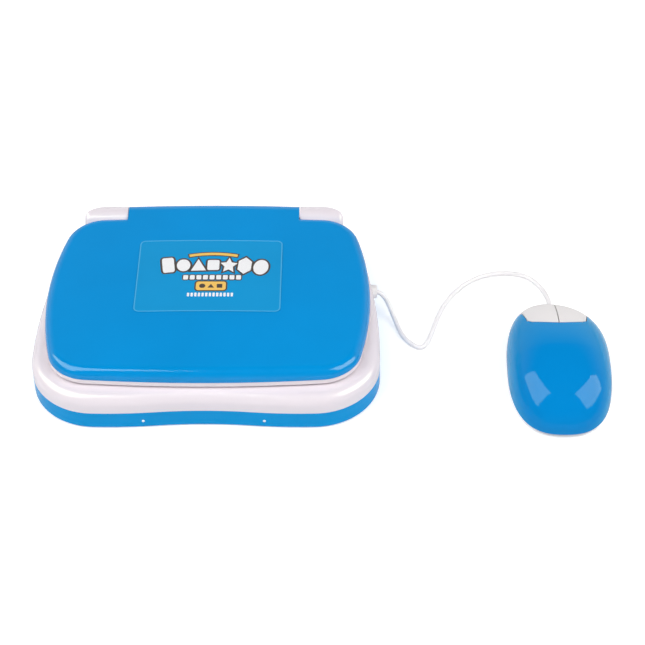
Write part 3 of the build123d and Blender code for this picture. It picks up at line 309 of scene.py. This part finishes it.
def finish_cad_nodes():
    """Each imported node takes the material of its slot; the blue base mouldings take a lighter blue."""
    slot_of = {row["node"]: row["material_slot"] for row in frame["record"]["subparts"]}
    slot_of.update(bottom_case="band_blue", battery_door="band_blue")
    for node, obj in NODES.items():
        obj.data.materials.clear()
        obj.data.materials.append(MATERIALS[slot_of[node]])


finish_cad_nodes()


# ---- mesh helpers ----------------------------------------------------------------------------
def new_piece(name, mesh, material, body):
    """Link a mesh as a named piece that rides on a body, if one is given."""
    obj = bpy.data.objects.new(name, mesh)
    bpy.context.scene.collection.objects.link(obj)
    mesh.materials.append(material)
    shade_by_angle(mesh, 35.0)
    if body:
        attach(obj, body)
    return obj


def shade_by_angle(mesh, angle):
    """Smooth shading, but sharp where faces meet at more than the angle."""
    bm = bmesh.new()
    bm.from_mesh(mesh)
    limit = math.radians(angle)
    for face in bm.faces:
        face.smooth = True
    for edge in bm.edges:
        edge.smooth = len(edge.link_faces) == 2 and edge.calc_face_angle(0.0) < limit
    bm.to_mesh(mesh)
    bm.free()


def mesh_from(name, points, faces):
    mesh = bpy.data.meshes.new(name)
    mesh.from_pydata([tuple(p) for p in points], [], faces)
    mesh.update()
    bm = bmesh.new()
    bm.from_mesh(mesh)
    bmesh.ops.recalc_face_normals(bm, faces=bm.faces)
    bm.to_mesh(mesh)
    bm.free()
    return mesh


def evaluated_mesh(obj):
    """A new mesh of the object as it stands, its modifiers or curves worked out."""
    bpy.context.view_layer.update()
    return bpy.data.meshes.new_from_object(obj.evaluated_get(bpy.context.evaluated_depsgraph_get()))


def boolean(obj, cutter, operation):
    """Apply an exact boolean and remove the cutter."""
    modifier = obj.modifiers.new("cut", "BOOLEAN")
    modifier.operation = operation
    modifier.object = cutter
    modifier.solver = "EXACT"
    result = evaluated_mesh(obj)
    obj.modifiers.clear()
    obj.data = result
    bpy.data.objects.remove(cutter)


def loose_object(name, mesh):
    """Link an object that is not a piece of the model: a cutter, a letter or a card."""
    obj = bpy.data.objects.new(name, mesh)
    bpy.context.scene.collection.objects.link(obj)
    return obj


def prism_mesh(name, outline, z_low, z_high):
    """Upright prism over a plan outline."""
    count = len(outline)
    points = [(x, y, z_low) for x, y in outline] + [(x, y, z_high) for x, y in outline]
    sides = [(i, (i + 1) % count, count + (i + 1) % count, count + i) for i in range(count)]
    faces = sides + [tuple(reversed(range(count))), tuple(range(count, 2 * count))]
    return mesh_from(name, points, faces)


def rectangle(x0, x1, y0, y1):
    return [(x0, y0), (x1, y0), (x1, y1), (x0, y1)]


def bar(x, y, width, depth):
    """Rectangle about its centre."""
    return rectangle(x - width / 2, x + width / 2, y - depth / 2, y + depth / 2)


# ---- mouse -----------------------------------------------------------------------------------
JOINTS = {joint["name"]: joint for joint in frame["joints"]}
MOUSE_X = JOINTS["mouse_click_left"]["pos_m"][0]
MOUSE_SKIRT_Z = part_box("mouse_shell")[0].z
MOUSE_TOP_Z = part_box("mouse_shell")[1].z + 0.1 * MM
MOUSE_MID_Y = -42.0 * MM
MOUSE_PEAK_Y = -48.0 * MM
MOUSE_REAR = 56.5 * MM
MOUSE_FRONT = 54.0 * MM
MOUSE_HALF_WIDTH = 33.2 * MM
MOUSE_REAR_POWER = 2.6                # bluntness of the plan: 2 is an ellipse
MOUSE_FRONT_POWER = 2.5
MOUSE_BACK_POWER = 2.0                # roundness of the back and of the slope to the nose
MOUSE_SLOPE_POWER = 1.5
MOUSE_REAR_LIP = 1.0 * MM             # height of the dome's edge at its rear and front tips
MOUSE_NOSE_LIP = 6.0 * MM
MOUSE_WALL = 2.0 * MM
MOUSE_NOSE_YAW = math.radians(-8.0)
MOUSE_BUTTON_Y = -24.2 * MM            # rearmost point of the bowed joint between dome and buttons
MOUSE_BUTTON_BOW = 3.4 * MM
MOUSE_BUTTON_X = (-20.0 * MM, 18.6 * MM)        # sides of the joint, from the mouse's middle
MOUSE_EAR_LEFT = (-22.4 * MM, -2.8 * MM)        # tips of the two blue ears
MOUSE_EAR_RIGHT = (20.2 * MM, -7.1 * MM)
MOUSE_BUTTON_LOW_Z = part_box("mouse_left_button")[0].z
MOUSE_BUTTON_CORNER = 3.0 * MM
MOUSE_BUTTON_GAP = 0.45 * MM
MOUSE_HALF_SLIT = 0.3 * MM
CORD_NOTCH = (5.6 * MM, 9.6 * MM)     # half width and top of the notch for the cord
ARCH_POWER = 2.5
HIGH = 0.1                            # above everything, for cutters


def mouse_half_width(y):
    """Half width of the mouse in plan: blunt at both ends."""
    if y < MOUSE_MID_Y:
        reach, power = (MOUSE_MID_Y - y) / MOUSE_REAR, MOUSE_REAR_POWER
    else:
        reach, power = (y - MOUSE_MID_Y) / MOUSE_FRONT, MOUSE_FRONT_POWER
    return MOUSE_HALF_WIDTH * max(0.0, 1 - min(1.0, reach) ** power) ** (1 / power)


def mouse_height(y):
    """Top of the mouse along its middle: a round back, a long slope to the nose."""
    rear_tip, nose_tip = MOUSE_MID_Y - MOUSE_REAR, MOUSE_MID_Y + MOUSE_FRONT
    if y < MOUSE_PEAK_Y:
        reach, power = (MOUSE_PEAK_Y - y) / (MOUSE_PEAK_Y - rear_tip), MOUSE_BACK_POWER
        floor = MOUSE_SKIRT_Z + MOUSE_REAR_LIP
    else:
        reach, power = (y - MOUSE_PEAK_Y) / (nose_tip - MOUSE_PEAK_Y), MOUSE_SLOPE_POWER
        floor = MOUSE_SKIRT_Z + MOUSE_NOSE_LIP
    return floor + (MOUSE_TOP_Z - floor) * max(0.0, 1 - min(1.0, reach) ** power) ** (1 / power)


def mouse_point(x, station, inset):
    """Point of the dome over a station, x to the side of the middle line, inset from the outside."""
    half = max(mouse_half_width(station), 1e-6)
    rise = mouse_height(station) - inset - MOUSE_SKIRT_Z
    share = min(1.0, abs(x) / half)
    z = MOUSE_SKIRT_Z + rise * (1 - share ** ARCH_POWER) ** (1 / ARCH_POWER)
    yaw = MOUSE_NOSE_YAW * max(0.0, (station - MOUSE_MID_Y) / MOUSE_FRONT)
    width = x * (1 - inset / MOUSE_HALF_WIDTH)
    mid = MOUSE_MID_Y + (station - MOUSE_MID_Y) * (1 - inset / MOUSE_REAR)
    return (MOUSE_X + width * math.cos(yaw), mid + width * math.sin(yaw), z)


def mouse_dome(name):
    """Hollow dome: rings from the apex to the skirt, outside and inside, joined at the rim."""
    rings, around = 64, 192
    points, faces = [], []
    starts = []
    for inset in (0.0, MOUSE_WALL):
        points.append(mouse_point(0.0, MOUSE_MID_Y, inset))
        starts.append(len(points))
        for ring in range(1, rings + 1):
            scale = math.sin(math.pi / 2 * ring / rings)
            for step in range(around):
                angle = 2 * math.pi * step / around
                length = MOUSE_FRONT if math.sin(angle) > 0 else MOUSE_REAR
                edge = MOUSE_MID_Y + math.sin(angle) * length
                side = math.copysign(mouse_half_width(edge), math.cos(angle))
                x, y, z = mouse_point(side * scale, MOUSE_MID_Y + (edge - MOUSE_MID_Y) * scale, inset)
                points.append((x, y, MOUSE_SKIRT_Z if ring == rings else z))
    for start in starts:
        for step in range(around):
            after = (step + 1) % around
            faces.append((start - 1, start + step, start + after))
            for ring in range(rings - 1):
                a, b = start + ring * around, start + (ring + 1) * around
                faces.append((a + step, b + step, b + after, a + after))
    outer, inner = (start + (rings - 1) * around for start in starts)
    for i in range(around):
        j = (i + 1) % around
        faces.append((outer + i, inner + i, inner + j, outer + j))
    return mesh_from(name, points, faces)


def button_zone(shrink):
    """Plan of the area of the two buttons: bowed joint at the rear, sides running to the ear tips."""
    left, right = MOUSE_BUTTON_X[0] + shrink, MOUSE_BUTTON_X[1] - shrink
    rear = MOUSE_BUTTON_Y + shrink
    ear_left = (MOUSE_EAR_LEFT[0] + shrink, MOUSE_EAR_LEFT[1] + shrink)
    ear_right = (MOUSE_EAR_RIGHT[0] - shrink, MOUSE_EAR_RIGHT[1] + shrink)
    corner = MOUSE_BUTTON_CORNER
    far = 45 * MM
    outline = [(far, ear_right[1]), (far, far), (-far, far), (-far, ear_left[1]), ear_left]
    start, end = left + corner, right - corner
    outline.append((left, rear + MOUSE_BUTTON_BOW + corner))
    steps = 24
    for i in range(steps + 1):
        share = 2 * i / steps - 1
        outline.append((start + (end - start) * i / steps, rear + MOUSE_BUTTON_BOW * share ** 2))
    outline += [(right, rear + MOUSE_BUTTON_BOW + corner), ear_right]
    return [(MOUSE_X + x, y) for x, y in outline]


def soften(obj, width):
    """Round the crisp edges that the cuts leave."""
    bevel = obj.modifiers.new("soft_edges", "BEVEL")
    bevel.width = width
    bevel.segments = 2
    bevel.limit_method = "ANGLE"
    bevel.angle_limit = math.radians(50.0)
    bevel.use_clamp_overlap = True


def cut_mouse(piece, outline, z_low, z_high, operation):
    """Cut a piece with an upright prism, or keep only what lies in it."""
    boolean(piece, loose_object("cutter", prism_mesh("cutter", outline, z_low, z_high)), operation)


def make_mouse():
    """Blue dome with its ears, and the two white buttons."""
    shell = new_piece("mouse_dome", mouse_dome("mouse_dome"), MATERIALS["mouse_blue"], None)
    cut_mouse(shell, button_zone(0.0), 0.0, HIGH, "DIFFERENCE")
    finish_mouse_piece(shell, "mouse", "mouse_shell")
    cord_x = JOINTS["mouse_turn"]["pos_m"][0]
    notch_half, notch_top = CORD_NOTCH
    notch = rectangle(cord_x - notch_half, cord_x + notch_half, -0.001, 0.05)
    for side, body in ((-1, "mouse_left"), (1, "mouse_right")):
        node = body + "_button"
        cap = new_piece(node + "_cap", mouse_dome(node), MATERIALS["button_white"], None)
        cut_mouse(cap, button_zone(MOUSE_BUTTON_GAP), MOUSE_BUTTON_LOW_Z, HIGH, "INTERSECT")
        near, far = sorted((MOUSE_X + side * MOUSE_HALF_SLIT, MOUSE_X + side * 0.06))
        cut_mouse(cap, rectangle(near, far, -0.2, 0.1), 0.0, HIGH, "INTERSECT")
        cut_mouse(cap, notch, 0.0, notch_top, "DIFFERENCE")
        finish_mouse_piece(cap, body, node)


def finish_mouse_piece(piece, body, node):
    """Soft edges along the cuts, then the piece takes the node's place."""
    soften(piece, 0.35 * MM)
    shade_by_angle(piece.data, 40.0)
    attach(piece, body)
    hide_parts(node)


make_mouse()


# ---- printed graphics ------------------------------------------------------------------------
FILM_SINK = 0.05 * MM          # how far a film reaches into what carries it
LEGEND_THICKNESS = 0.06 * MM
LEGEND_SIZE = 8.2 * MM
BADGE_CORNER_R = 4.0 * MM


def ring_points(radius, count, turn=0.0, centre=(0.0, 0.0)):
    """Points of a regular polygon, or of a circle when the count is large."""
    angles = [2 * math.pi * i / count + turn for i in range(count)]
    return [(centre[0] + radius * math.cos(a), centre[1] + radius * math.sin(a)) for a in angles]


def star_points(radius):
    """Five-pointed star, one point up."""
    points = []
    for i in range(10):
        reach = radius if i % 2 == 0 else radius / 2
        angle = math.pi / 2 + math.pi * i / 5
        points.append((reach * math.cos(angle), reach * math.sin(angle)))
    return points


def rounded_rectangle(width, depth, radius, steps=6):
    """Rounded rectangle about the origin, counter-clockwise."""
    points = []
    for quarter, (sx, sy) in enumerate(((1, 1), (-1, 1), (-1, -1), (1, -1))):
        for i in range(steps + 1):
            angle = math.pi / 2 * (quarter + i / steps)
            x = sx * (width / 2 - radius) + radius * math.cos(angle)
            y = sy * (depth / 2 - radius) + radius * math.sin(angle)
            points.append((x, y))
    return points


def grown(points, margin):
    """A closed convex or star-shaped outline moved out by a margin, corner by corner."""
    count = len(points)
    result = []
    for i in range(count):
        before, here, after = (Vector(points[j]) for j in (i - 1, i, (i + 1) % count))
        one = (here - before).normalized()
        two = (after - here).normalized()
        normal_one, normal_two = Vector((one.y, -one.x)), Vector((two.y, -two.x))
        bisector = (normal_one + normal_two).normalized()
        reach = margin / max(0.55, bisector.dot(normal_one))
        result.append(tuple(here + bisector * reach))
    return result


def placed(points, x, y, turn=0.0):
    """Outline turned and moved into place."""
    c, s = math.cos(turn), math.sin(turn)
    return [(x + c * px - s * py, y + s * px + c * py) for px, py in points]


def arc_band(centre, radius, width, start, end, steps=24):
    """Part of a ring, from a start angle to an end angle in degrees."""
    points = []
    for reach, order in ((radius + width / 2, range(steps + 1)), (radius - width / 2, range(steps, -1, -1))):
        for i in order:
            angle = math.radians(start + (end - start) * i / steps)
            points.append((centre[0] + reach * math.cos(angle), centre[1] + reach * math.sin(angle)))
    return points


def film(name, outlines, surface, thickness, material, body, step=0.0):
    """Thin printed film: each outline is a plate on a surface, a step higher than the one before."""
    points, faces = [], []
    for order, outline in enumerate(outlines):
        start, count = len(points), len(outline)
        points += [(x, y, surface(x, y) - FILM_SINK) for x, y in outline]
        points += [(x, y, surface(x, y) + thickness + step * order) for x, y in outline]
        for i in range(count):
            j = (i + 1) % count
            faces.append((start + i, start + j, start + count + j, start + count + i))
        faces.append(tuple(range(start + count - 1, start - 1, -1)))
        faces.append(tuple(range(start + count, start + 2 * count)))
    new_piece(name, mesh_from(name, points, faces), MATERIALS[material], body)


def surface_of(node):
    """Height function of a CAD node's top, found by looking down on it."""
    mesh = NODES[node].data
    corners = [v.co.copy() for v in mesh.vertices]
    tree = BVHTree.FromPolygons(corners, [tuple(f.vertices) for f in mesh.polygons])
    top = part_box(node)[1].z

    def height(x, y):
        hit = tree.ray_cast(Vector((x, y, top + 1.0)), Vector((0, 0, -1)))[0]
        return hit.z if hit else top
    return height


def stretched(points, factor):
    """Outline drawn out along Y, so that it reads at its full height from a low camera."""
    return [(x, y * factor) for x, y in points]


def make_badge():
    """Seven bold shapes under an arc, a row of tiles, a pill and a row of bars: a wordless cover print."""
    low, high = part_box("lid_badge")
    mid_x, mid_y = (low.x + high.x) / 2, (low.y + high.y) / 2
    surface = surface_of("lid_badge")

    def at(points, x, y, turn=0.0):
        """Outline in metres, moved to a place in millimetres from the badge's middle."""
        return placed(points, mid_x + x * MM, mid_y + y * MM, math.radians(turn))

    square = rounded_rectangle(7.8 * MM, 7.8 * MM, 1.3 * MM)
    tile = rounded_rectangle(3.2 * MM, 4.2 * MM, 0.7 * MM)
    line = rounded_rectangle(1.5 * MM, 3.4 * MM, 0.5 * MM)
    row = [                                        # outline, across, up, turn, how far it is drawn out
        (square, -27.2, 9.6, 7.0, 1.80),
        (ring_points(4.4 * MM, 40), -17.2, 9.4, 4.0, 1.30),
        (ring_points(5.7 * MM, 3, math.pi / 2), -7.4, 8.0, 2.0, 1.30),
        (square, 2.3, 9.6, 0.0, 1.25),
        (star_points(5.8 * MM), 12.4, 9.2, -2.0, 1.30),
        (ring_points(5.0 * MM, 6, math.pi / 6), 22.8, 9.2, -5.0, 1.60),
        (ring_points(4.9 * MM, 40), 33.4, 7.8, -8.0, 1.45),
    ]
    shapes = [at(stretched(points, tall), x, y, turn) for points, x, y, turn, tall in row]
    tiles = [at(tile, 4.3 * (i - 4) + 2.0, -2.2) for i in range(9)]
    lines = [at(line, 2.35 * (i - 6) + 1.4, -18.6) for i in range(13)]
    arc = arc_band((mid_x + 2.0 * MM, mid_y - 50.0 * MM), 70.4 * MM, 2.4 * MM, 77.0, 103.0)
    pill_x, pill_y = 1.6, -10.4
    pill = at(rounded_rectangle(19.4 * MM, 8.2 * MM, 1.8 * MM), pill_x, pill_y)
    marks = [
        at(ring_points(2.0 * MM, 24), pill_x - 5.6, pill_y),
        at(ring_points(2.4 * MM, 3, math.pi / 2), pill_x, pill_y - 0.5),
        at(rounded_rectangle(3.6 * MM, 3.6 * MM, 0.4 * MM), pill_x + 5.6, pill_y),
    ]
    shades = [grown(points, 1.3 * MM) for points in shapes] + [grown(points, 0.8 * MM) for points in tiles]
    shades += [grown(pill, 1.0 * MM), grown(arc, 0.8 * MM)]
    film("badge_print_shade", shades, surface, 0.02 * MM, "ink_dark", "lid", step=0.002 * MM)
    film("badge_print_shapes", shapes, surface, 0.08 * MM, "ink_white", "lid")
    film("badge_print_tiles", tiles + lines, surface, 0.09 * MM, "ink_white", "lid")
    film("badge_print_pill", [pill, arc], surface, 0.08 * MM, "ink_yellow", "lid")
    film("badge_print_marks", marks, surface, 0.12 * MM, "ink_dark", "lid")


def frame_band(outer, inner, surface, depth, thickness):
    """Closed band between two outlines of equal count, reaching below and above a surface."""
    count = len(outer)
    points, faces = [], []
    for lift in (-depth, thickness):
        points += [(x, y, surface(x, y) + lift) for x, y in outer]
        points += [(x, y, surface(x, y) + lift) for x, y in inner]
    for i in range(count):
        j = (i + 1) % count
        faces.append((i, j, count + j, count + i))
        faces.append((2 * count + i, 3 * count + i, 3 * count + j, 2 * count + j))
        faces.append((i, 2 * count + i, 2 * count + j, j))
        faces.append((count + i, count + j, 3 * count + j, 3 * count + i))
    return mesh_from("band", points, faces)


def divided(points):
    """Outline with its long straight sides cut into 24 short ones, so that it can follow the crown."""
    result = []
    for i, here in enumerate(points):
        after = points[(i + 1) % len(points)]
        cuts = 24 if math.dist(here, after) > 20 * MM else 1
        result += [tuple(a + (b - a) * k / cuts for a, b in zip(here, after)) for k in range(cuts)]
    return result


def make_badge_edge():
    """Fine raised lip round the label, in a lighter blue that paints the highlight along its edge."""
    low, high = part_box("lid_badge")
    mid = ((low.x + high.x) / 2, (low.y + high.y) / 2)
    outlines = []
    for inset in (0.25 * MM, 1.0 * MM):
        width, depth = high.x - low.x - 2 * inset, high.y - low.y - 2 * inset
        outline = rounded_rectangle(width, depth, BADGE_CORNER_R - inset, 10)
        outlines.append(placed(divided(outline), *mid))
    mesh = frame_band(*outlines, surface_of("lid_badge"), 0.10 * MM, 0.10 * MM)
    # the lighter blue of the lip is a painted highlight
    new_piece("badge_lip", mesh, MATERIALS["badge_lip"], "lid")


def islands(node):
    """Middle and top of each separate solid of a node, left to right: (x, y, top)."""
    mesh = NODES[node].data
    bm = bmesh.new()
    bm.from_mesh(mesh)
    bmesh.ops.remove_doubles(bm, verts=bm.verts, dist=0.002 * MM)
    seen, places = set(), []
    for seed in bm.verts:
        if seed.index in seen:
            continue
        stack, members = [seed], []
        seen.add(seed.index)
        while stack:
            vert = stack.pop()
            members.append(vert.co)
            for edge in vert.link_edges:
                other = edge.other_vert(vert)
                if other.index not in seen:
                    seen.add(other.index)
                    stack.append(other)
        xs, ys, zs = ([c[axis] for c in members] for axis in range(3))
        places.append(((min(xs) + max(xs)) / 2, (min(ys) + max(ys)) / 2, max(zs)))
    bm.free()
    return sorted(places)


def letter_mesh(text):
    """Outline mesh of one printed character, centred on the origin."""
    curve = bpy.data.curves.new("letter", "FONT")
    curve.body = text
    curve.size = LEGEND_SIZE
    curve.extrude = LEGEND_THICKNESS
    curve.resolution_u = 4
    obj = loose_object("letter", curve)
    mesh = evaluated_mesh(obj)
    bpy.data.objects.remove(obj)
    xs, ys = ([v.co[axis] for v in mesh.vertices] for axis in range(2))
    mesh.transform(Matrix.Translation((-(min(xs) + max(xs)) / 2, -(min(ys) + max(ys)) / 2, 0)))
    return mesh


def print_letters(node, characters):
    """A generic character on every key of a node, all in one film that moves with the keys."""
    bm = bmesh.new()
    for (x, y, top), character in zip(islands(node), characters):
        letter = letter_mesh(character)
        letter.transform(Matrix.Translation((x, y, top)))
        bm.from_mesh(letter)
        bpy.data.meshes.remove(letter)
    mesh = bpy.data.meshes.new(node + "_print")
    bm.to_mesh(mesh)
    bm.free()
    new_piece(node + "_print", mesh, MATERIALS["ink_blue"], node + "_body")


def print_symbol(node, outlines, material):
    """A sign of plain outlines in millimetres, centred on a key's top."""
    (x, y, top), = islands(node)
    moved = [placed([(px * MM, py * MM) for px, py in points], x, y) for points in outlines]
    film(node + "_symbol", moved, lambda px, py: top, LEGEND_THICKNESS, material, node + "_body")


def arrow_outline(turn, size=2.6):
    """Broad arrow, pointing up before it is turned."""
    points = [(0, size), (-size, -0.1 * size), (-0.42 * size, -0.1 * size), (-0.42 * size, -size),
              (0.42 * size, -size), (0.42 * size, -0.1 * size), (size, -0.1 * size)]
    return placed(points, 0, 0, math.radians(turn))


def make_legends():
    """Letters and digits on the rows, plain signs on the single keys and round buttons."""
    print_letters("number_keys", "1234567890")
    print_letters("upper_letter_keys", "QWERTYUIOP")
    print_letters("home_letter_keys", "ASDFGHJKL")
    print_letters("lower_letter_keys", "ZXCVBNM")
    for name, turn in (("up", 0), ("left", 90), ("down", 180), ("right", 270)):
        print_symbol("arrow_" + name + "_key", [arrow_outline(turn)], "ink_dark")
    print_symbol("shift_key", [arrow_outline(0, 3.4)], "ink_white")
    print_symbol("delete_key", [arrow_outline(90, 3.2)], "ink_white")
    bent = [(4.4, 5.0), (4.4, -3.0), (-1.6, -3.0), (-1.6, -5.2), (-5.6, -1.8), (-1.6, 1.6), (-1.6, -0.6),
            (2.0, -0.6), (2.0, 5.0)]
    print_symbol("enter_key", [bent[::-1]], "ink_white")
    bracket = [bar(0, -1.0, 30.0, 1.3), bar(-14.4, 0.3, 1.3, 1.4), bar(14.4, 0.3, 1.3, 1.4)]
    print_symbol("space_bar", bracket, "ink_blue")
    note = [ring_points(1.3, 20, 0.0, (-1.0, -1.9)), bar(0.05, 0.4, 0.7, 4.6), bar(1.2, 2.3, 2.9, 1.0)]
    print_symbol("music_button", note, "ink_white")
    print_symbol("letters_button", [ring_points(2.7, 3, math.pi / 2), bar(0, -2.6, 5.6, 0.8)], "ink_white")
    steps = [bar(-2.2, -1.4, 1.4, 1.8), bar(0.0, -0.7, 1.4, 3.2), bar(2.2, 0.2, 1.4, 5.0)]
    print_symbol("numbers_button", steps, "ink_dark")
    tiles = [bar(x, y, 2.2, 2.2) for y in (1.4, -1.4) for x in (-1.4, 1.4)]
    print_symbol("puzzle_button", tiles, "ink_white")
    print_symbol("memory_button", [star_points(3.1)], "ink_white")
    pencil = [(-0.8, -2.2), (0.0, -3.6), (0.8, -2.2), (0.8, 3.2), (-0.8, 3.2)]
    print_symbol("drawing_button", [placed(pencil, 0, 0, math.radians(-40))], "ink_white")
    cone = [(-2.6, -0.9), (-1.3, -0.9), (0.2, -2.4), (0.2, 2.4), (-1.3, 0.9), (-2.6, 0.9)]
    waves = [arc_band((0, 0), radius, 0.6, -45, 45, 8) for radius in (1.8, 3.1)]
    print_symbol("volume_down_button", [cone] + waves[:1], "ink_dark")
    print_symbol("volume_up_button", [cone] + waves, "ink_dark")
    print_symbol("power_button", [arc_band((0, 0), 2.5, 0.8, 125, 415), bar(0, 2.2, 0.8, 3.0)], "ink_white")


PIP_R = 0.96 * MM
PIP_PLACE = (38.0 * MM, 0.95 * MM, 5.4 * MM)       # to each side, behind the band's front, up


def make_pips():
    """Two small domes pressed into the front of the blue band, in white ink that paints the glints they catch."""
    rings, around = 6, 24
    across, behind, up = PIP_PLACE
    mid_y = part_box("bottom_case")[0].y + behind
    points, faces = [], []
    for mid_x in (-across, across):
        start = len(points)
        points.append((mid_x, mid_y - PIP_R, up))
        for ring in range(1, rings + 1):
            tilt = math.pi / 2 * ring / rings
            circle = ring_points(PIP_R * math.sin(tilt), around)
            points += [(mid_x + x, mid_y - PIP_R * math.cos(tilt), up + z) for x, z in circle]
        faces += [(start, start + 1 + i, start + 1 + (i + 1) % around) for i in range(around)]
        for ring in range(rings - 1):
            a, b = start + 1 + ring * around, start + 1 + (ring + 1) * around
            faces += [(a + i, b + i, b + (i + 1) % around, a + (i + 1) % around) for i in range(around)]
        rim = start + 1 + (rings - 1) * around
        faces.append(tuple(range(rim, rim + around)))
    # white ink on the pips: painted glints, not the band's own blue
    new_piece("band_pip_glints", mesh_from("band_pip_glints", points, faces), MATERIALS["ink_white"], "base")


make_badge()
make_badge_edge()
make_pips()
make_legends()


# ---- stage, light, camera --------------------------------------------------------------------
TABLE_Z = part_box("rubber_feet")[0].z
FLOOR_LIFT = 0.38              # glow of the floor to the camera, near the object and far from it
FAR_FLOOR_LIFT = 0.95
LAMP_TARGET = Vector((0.05, -0.02, 0.02))
CAMERA_PLACE = (0.091, -0.9474, 0.9213 + TABLE_Z)
CAMERA_ELEVATION = 44
FOCAL_LENGTH = 111.6
SENSOR_WIDTH = 36.0
FRAME_X = 0.0739               # what stands in the middle of the frame
SUBJECT_DEPTH = 1.290          # distance from the camera to the object along its line of sight


def add_floor():
    """Pale floor that the camera sees as white out to the horizon, its contact shadows kept faint."""
    bpy.ops.mesh.primitive_plane_add(size=12.0, location=(0, 0, TABLE_Z))
    floor = bpy.context.object
    floor.name = "floor"
    s = Shader("floor_paper")
    s.colour(s.ramp(s.noise(3.0, 3.0), [(0.3, (0.880, 0.880, 0.885)), (0.7, (0.900, 0.900, 0.905))]))
    s.set(Roughness=0.9, Specular_IOR_Level=0.1, Emission_Color=(1, 1, 1, 1))
    away = s.add("ShaderNodeVectorMath", operation="LENGTH")
    s.link(s.coords, away.inputs[0])
    lift = s.add("ShaderNodeMapRange")
    reach = {"From Min": 0.8, "From Max": 2.6, "To Min": FLOOR_LIFT, "To Max": FAR_FLOOR_LIFT}
    for key, value in reach.items():
        lift.inputs[key].default_value = value
    s.link(away.outputs["Value"], lift.inputs["Value"])
    glow = s.add("ShaderNodeMath", operation="MULTIPLY")
    s.link(lift.outputs["Result"], glow.inputs[0])
    s.link(s.add("ShaderNodeLightPath").outputs["Is Camera Ray"], glow.inputs[1])
    s.link(glow.outputs["Value"], s.bsdf.inputs["Emission Strength"])
    floor.data.materials.append(s.material)


def add_world():
    """Room: bright behind and low down, dark overhead and in front; the camera itself sees white."""
    world = bpy.data.worlds.new("studio")
    bpy.context.scene.world = world
    world.use_nodes = True
    tree = world.node_tree
    nodes, links = tree.nodes, tree.links
    split = nodes.new("ShaderNodeSeparateXYZ")
    links.new(nodes.new("ShaderNodeTexCoord").outputs["Generated"], split.inputs["Vector"])
    height = nodes.new("ShaderNodeValToRGB")
    height.color_ramp.elements[0].position = 0.35
    height.color_ramp.elements[1].position = 0.74
    height.color_ramp.elements[0].color = (1.0, 1.0, 1.0, 1.0)
    height.color_ramp.elements[1].color = (0.03, 0.03, 0.03, 1.0)
    links.new(split.outputs["Z"], height.inputs["Fac"])
    behind = nodes.new("ShaderNodeMapRange")
    for key, value in {"From Min": -0.3, "From Max": 0.5, "To Min": 0.15, "To Max": 1.0}.items():
        behind.inputs[key].default_value = value
    links.new(split.outputs["Y"], behind.inputs["Value"])
    product = nodes.new("ShaderNodeMath")
    product.operation = "MULTIPLY"
    links.new(height.outputs["Color"], product.inputs[0])
    links.new(behind.outputs["Result"], product.inputs[1])
    backdrop = nodes.new("ShaderNodeMath")
    backdrop.operation = "MAXIMUM"
    links.new(product.outputs["Value"], backdrop.inputs[0])
    links.new(nodes.new("ShaderNodeLightPath").outputs["Is Camera Ray"], backdrop.inputs[1])
    links.new(backdrop.outputs["Value"], tree.nodes["Background"].inputs["Strength"])
    tree.nodes["Background"].inputs["Color"].default_value = (0.97, 0.98, 1.0, 1.0)


def add_softbox(name, place, size, power):
    """Rectangular studio lamp aimed at the object, never mirrored in it."""
    light = bpy.data.lights.new(name, "AREA")
    light.shape = "RECTANGLE"
    light.size, light.size_y = size
    light.energy = power
    lamp = bpy.data.objects.new(name, light)
    lamp.location = place
    lamp.rotation_euler = (LAMP_TARGET - Vector(place)).to_track_quat("-Z", "Y").to_euler()
    lamp.visible_glossy = False
    bpy.context.scene.collection.objects.link(lamp)


def add_card(name, place, outline, strength):
    """Glowing card aimed at the object, seen only as a highlight in glossy surfaces."""
    points = [(x, y, 0.0) for x, y in outline]
    card = loose_object(name, mesh_from(name, points, [tuple(range(len(points)))]))
    card.location = place
    card.rotation_euler = (LAMP_TARGET - Vector(place)).to_track_quat("-Z", "Y").to_euler()
    glow = Shader(name)
    glow.set(Base_Color=(0, 0, 0, 1), Emission_Color=(1.0, 1.1, 0.8, 1), Emission_Strength=strength)
    card.data.materials.append(glow.material)
    for ray in ("camera", "diffuse", "transmission", "shadow"):
        setattr(card, "visible_" + ray, False)


def add_camera():
    """Camera above the table, a little to the right, its frame shifted back to the object."""
    camera = bpy.data.cameras.new("camera")
    camera.sensor_width = SENSOR_WIDTH
    camera.lens = FOCAL_LENGTH
    camera.shift_x = (FRAME_X - CAMERA_PLACE[0]) * FOCAL_LENGTH / SENSOR_WIDTH / SUBJECT_DEPTH
    obj = bpy.data.objects.new("camera", camera)
    obj.location = CAMERA_PLACE
    obj.rotation_euler = (math.radians(90 - CAMERA_ELEVATION), 0, 0)
    bpy.context.scene.collection.objects.link(obj)
    bpy.context.scene.camera = obj


add_floor()
add_world()
add_softbox("key_left", (-0.75, -0.40, 1.05), (0.9, 0.9), 10.0)
add_softbox("key_right", (1.00, -0.40, 1.05), (0.9, 0.9), 10.0)
add_softbox("fill", (0.05, -0.60, 1.60), (1.6, 1.2), 8.0)
add_softbox("low_front", (0.05, -1.45, 0.40), (1.6, 0.5), 2.6)
add_card("card_left", (-0.79, -0.07, 1.00), [(-0.72, -0.70), (-0.48, 0.20), (0.44, 0.85), (0.76, -0.36)], 8.0)
add_card("card_right", (1.33, -0.11, 1.00),
         [(-0.51, 1.00), (0.42, 0.19), (0.59, -0.21), (0.47, -0.85), (-0.98, -0.13)], 8.6)
add_camera()
bpy.context.scene.view_settings.view_transform = "Standard"
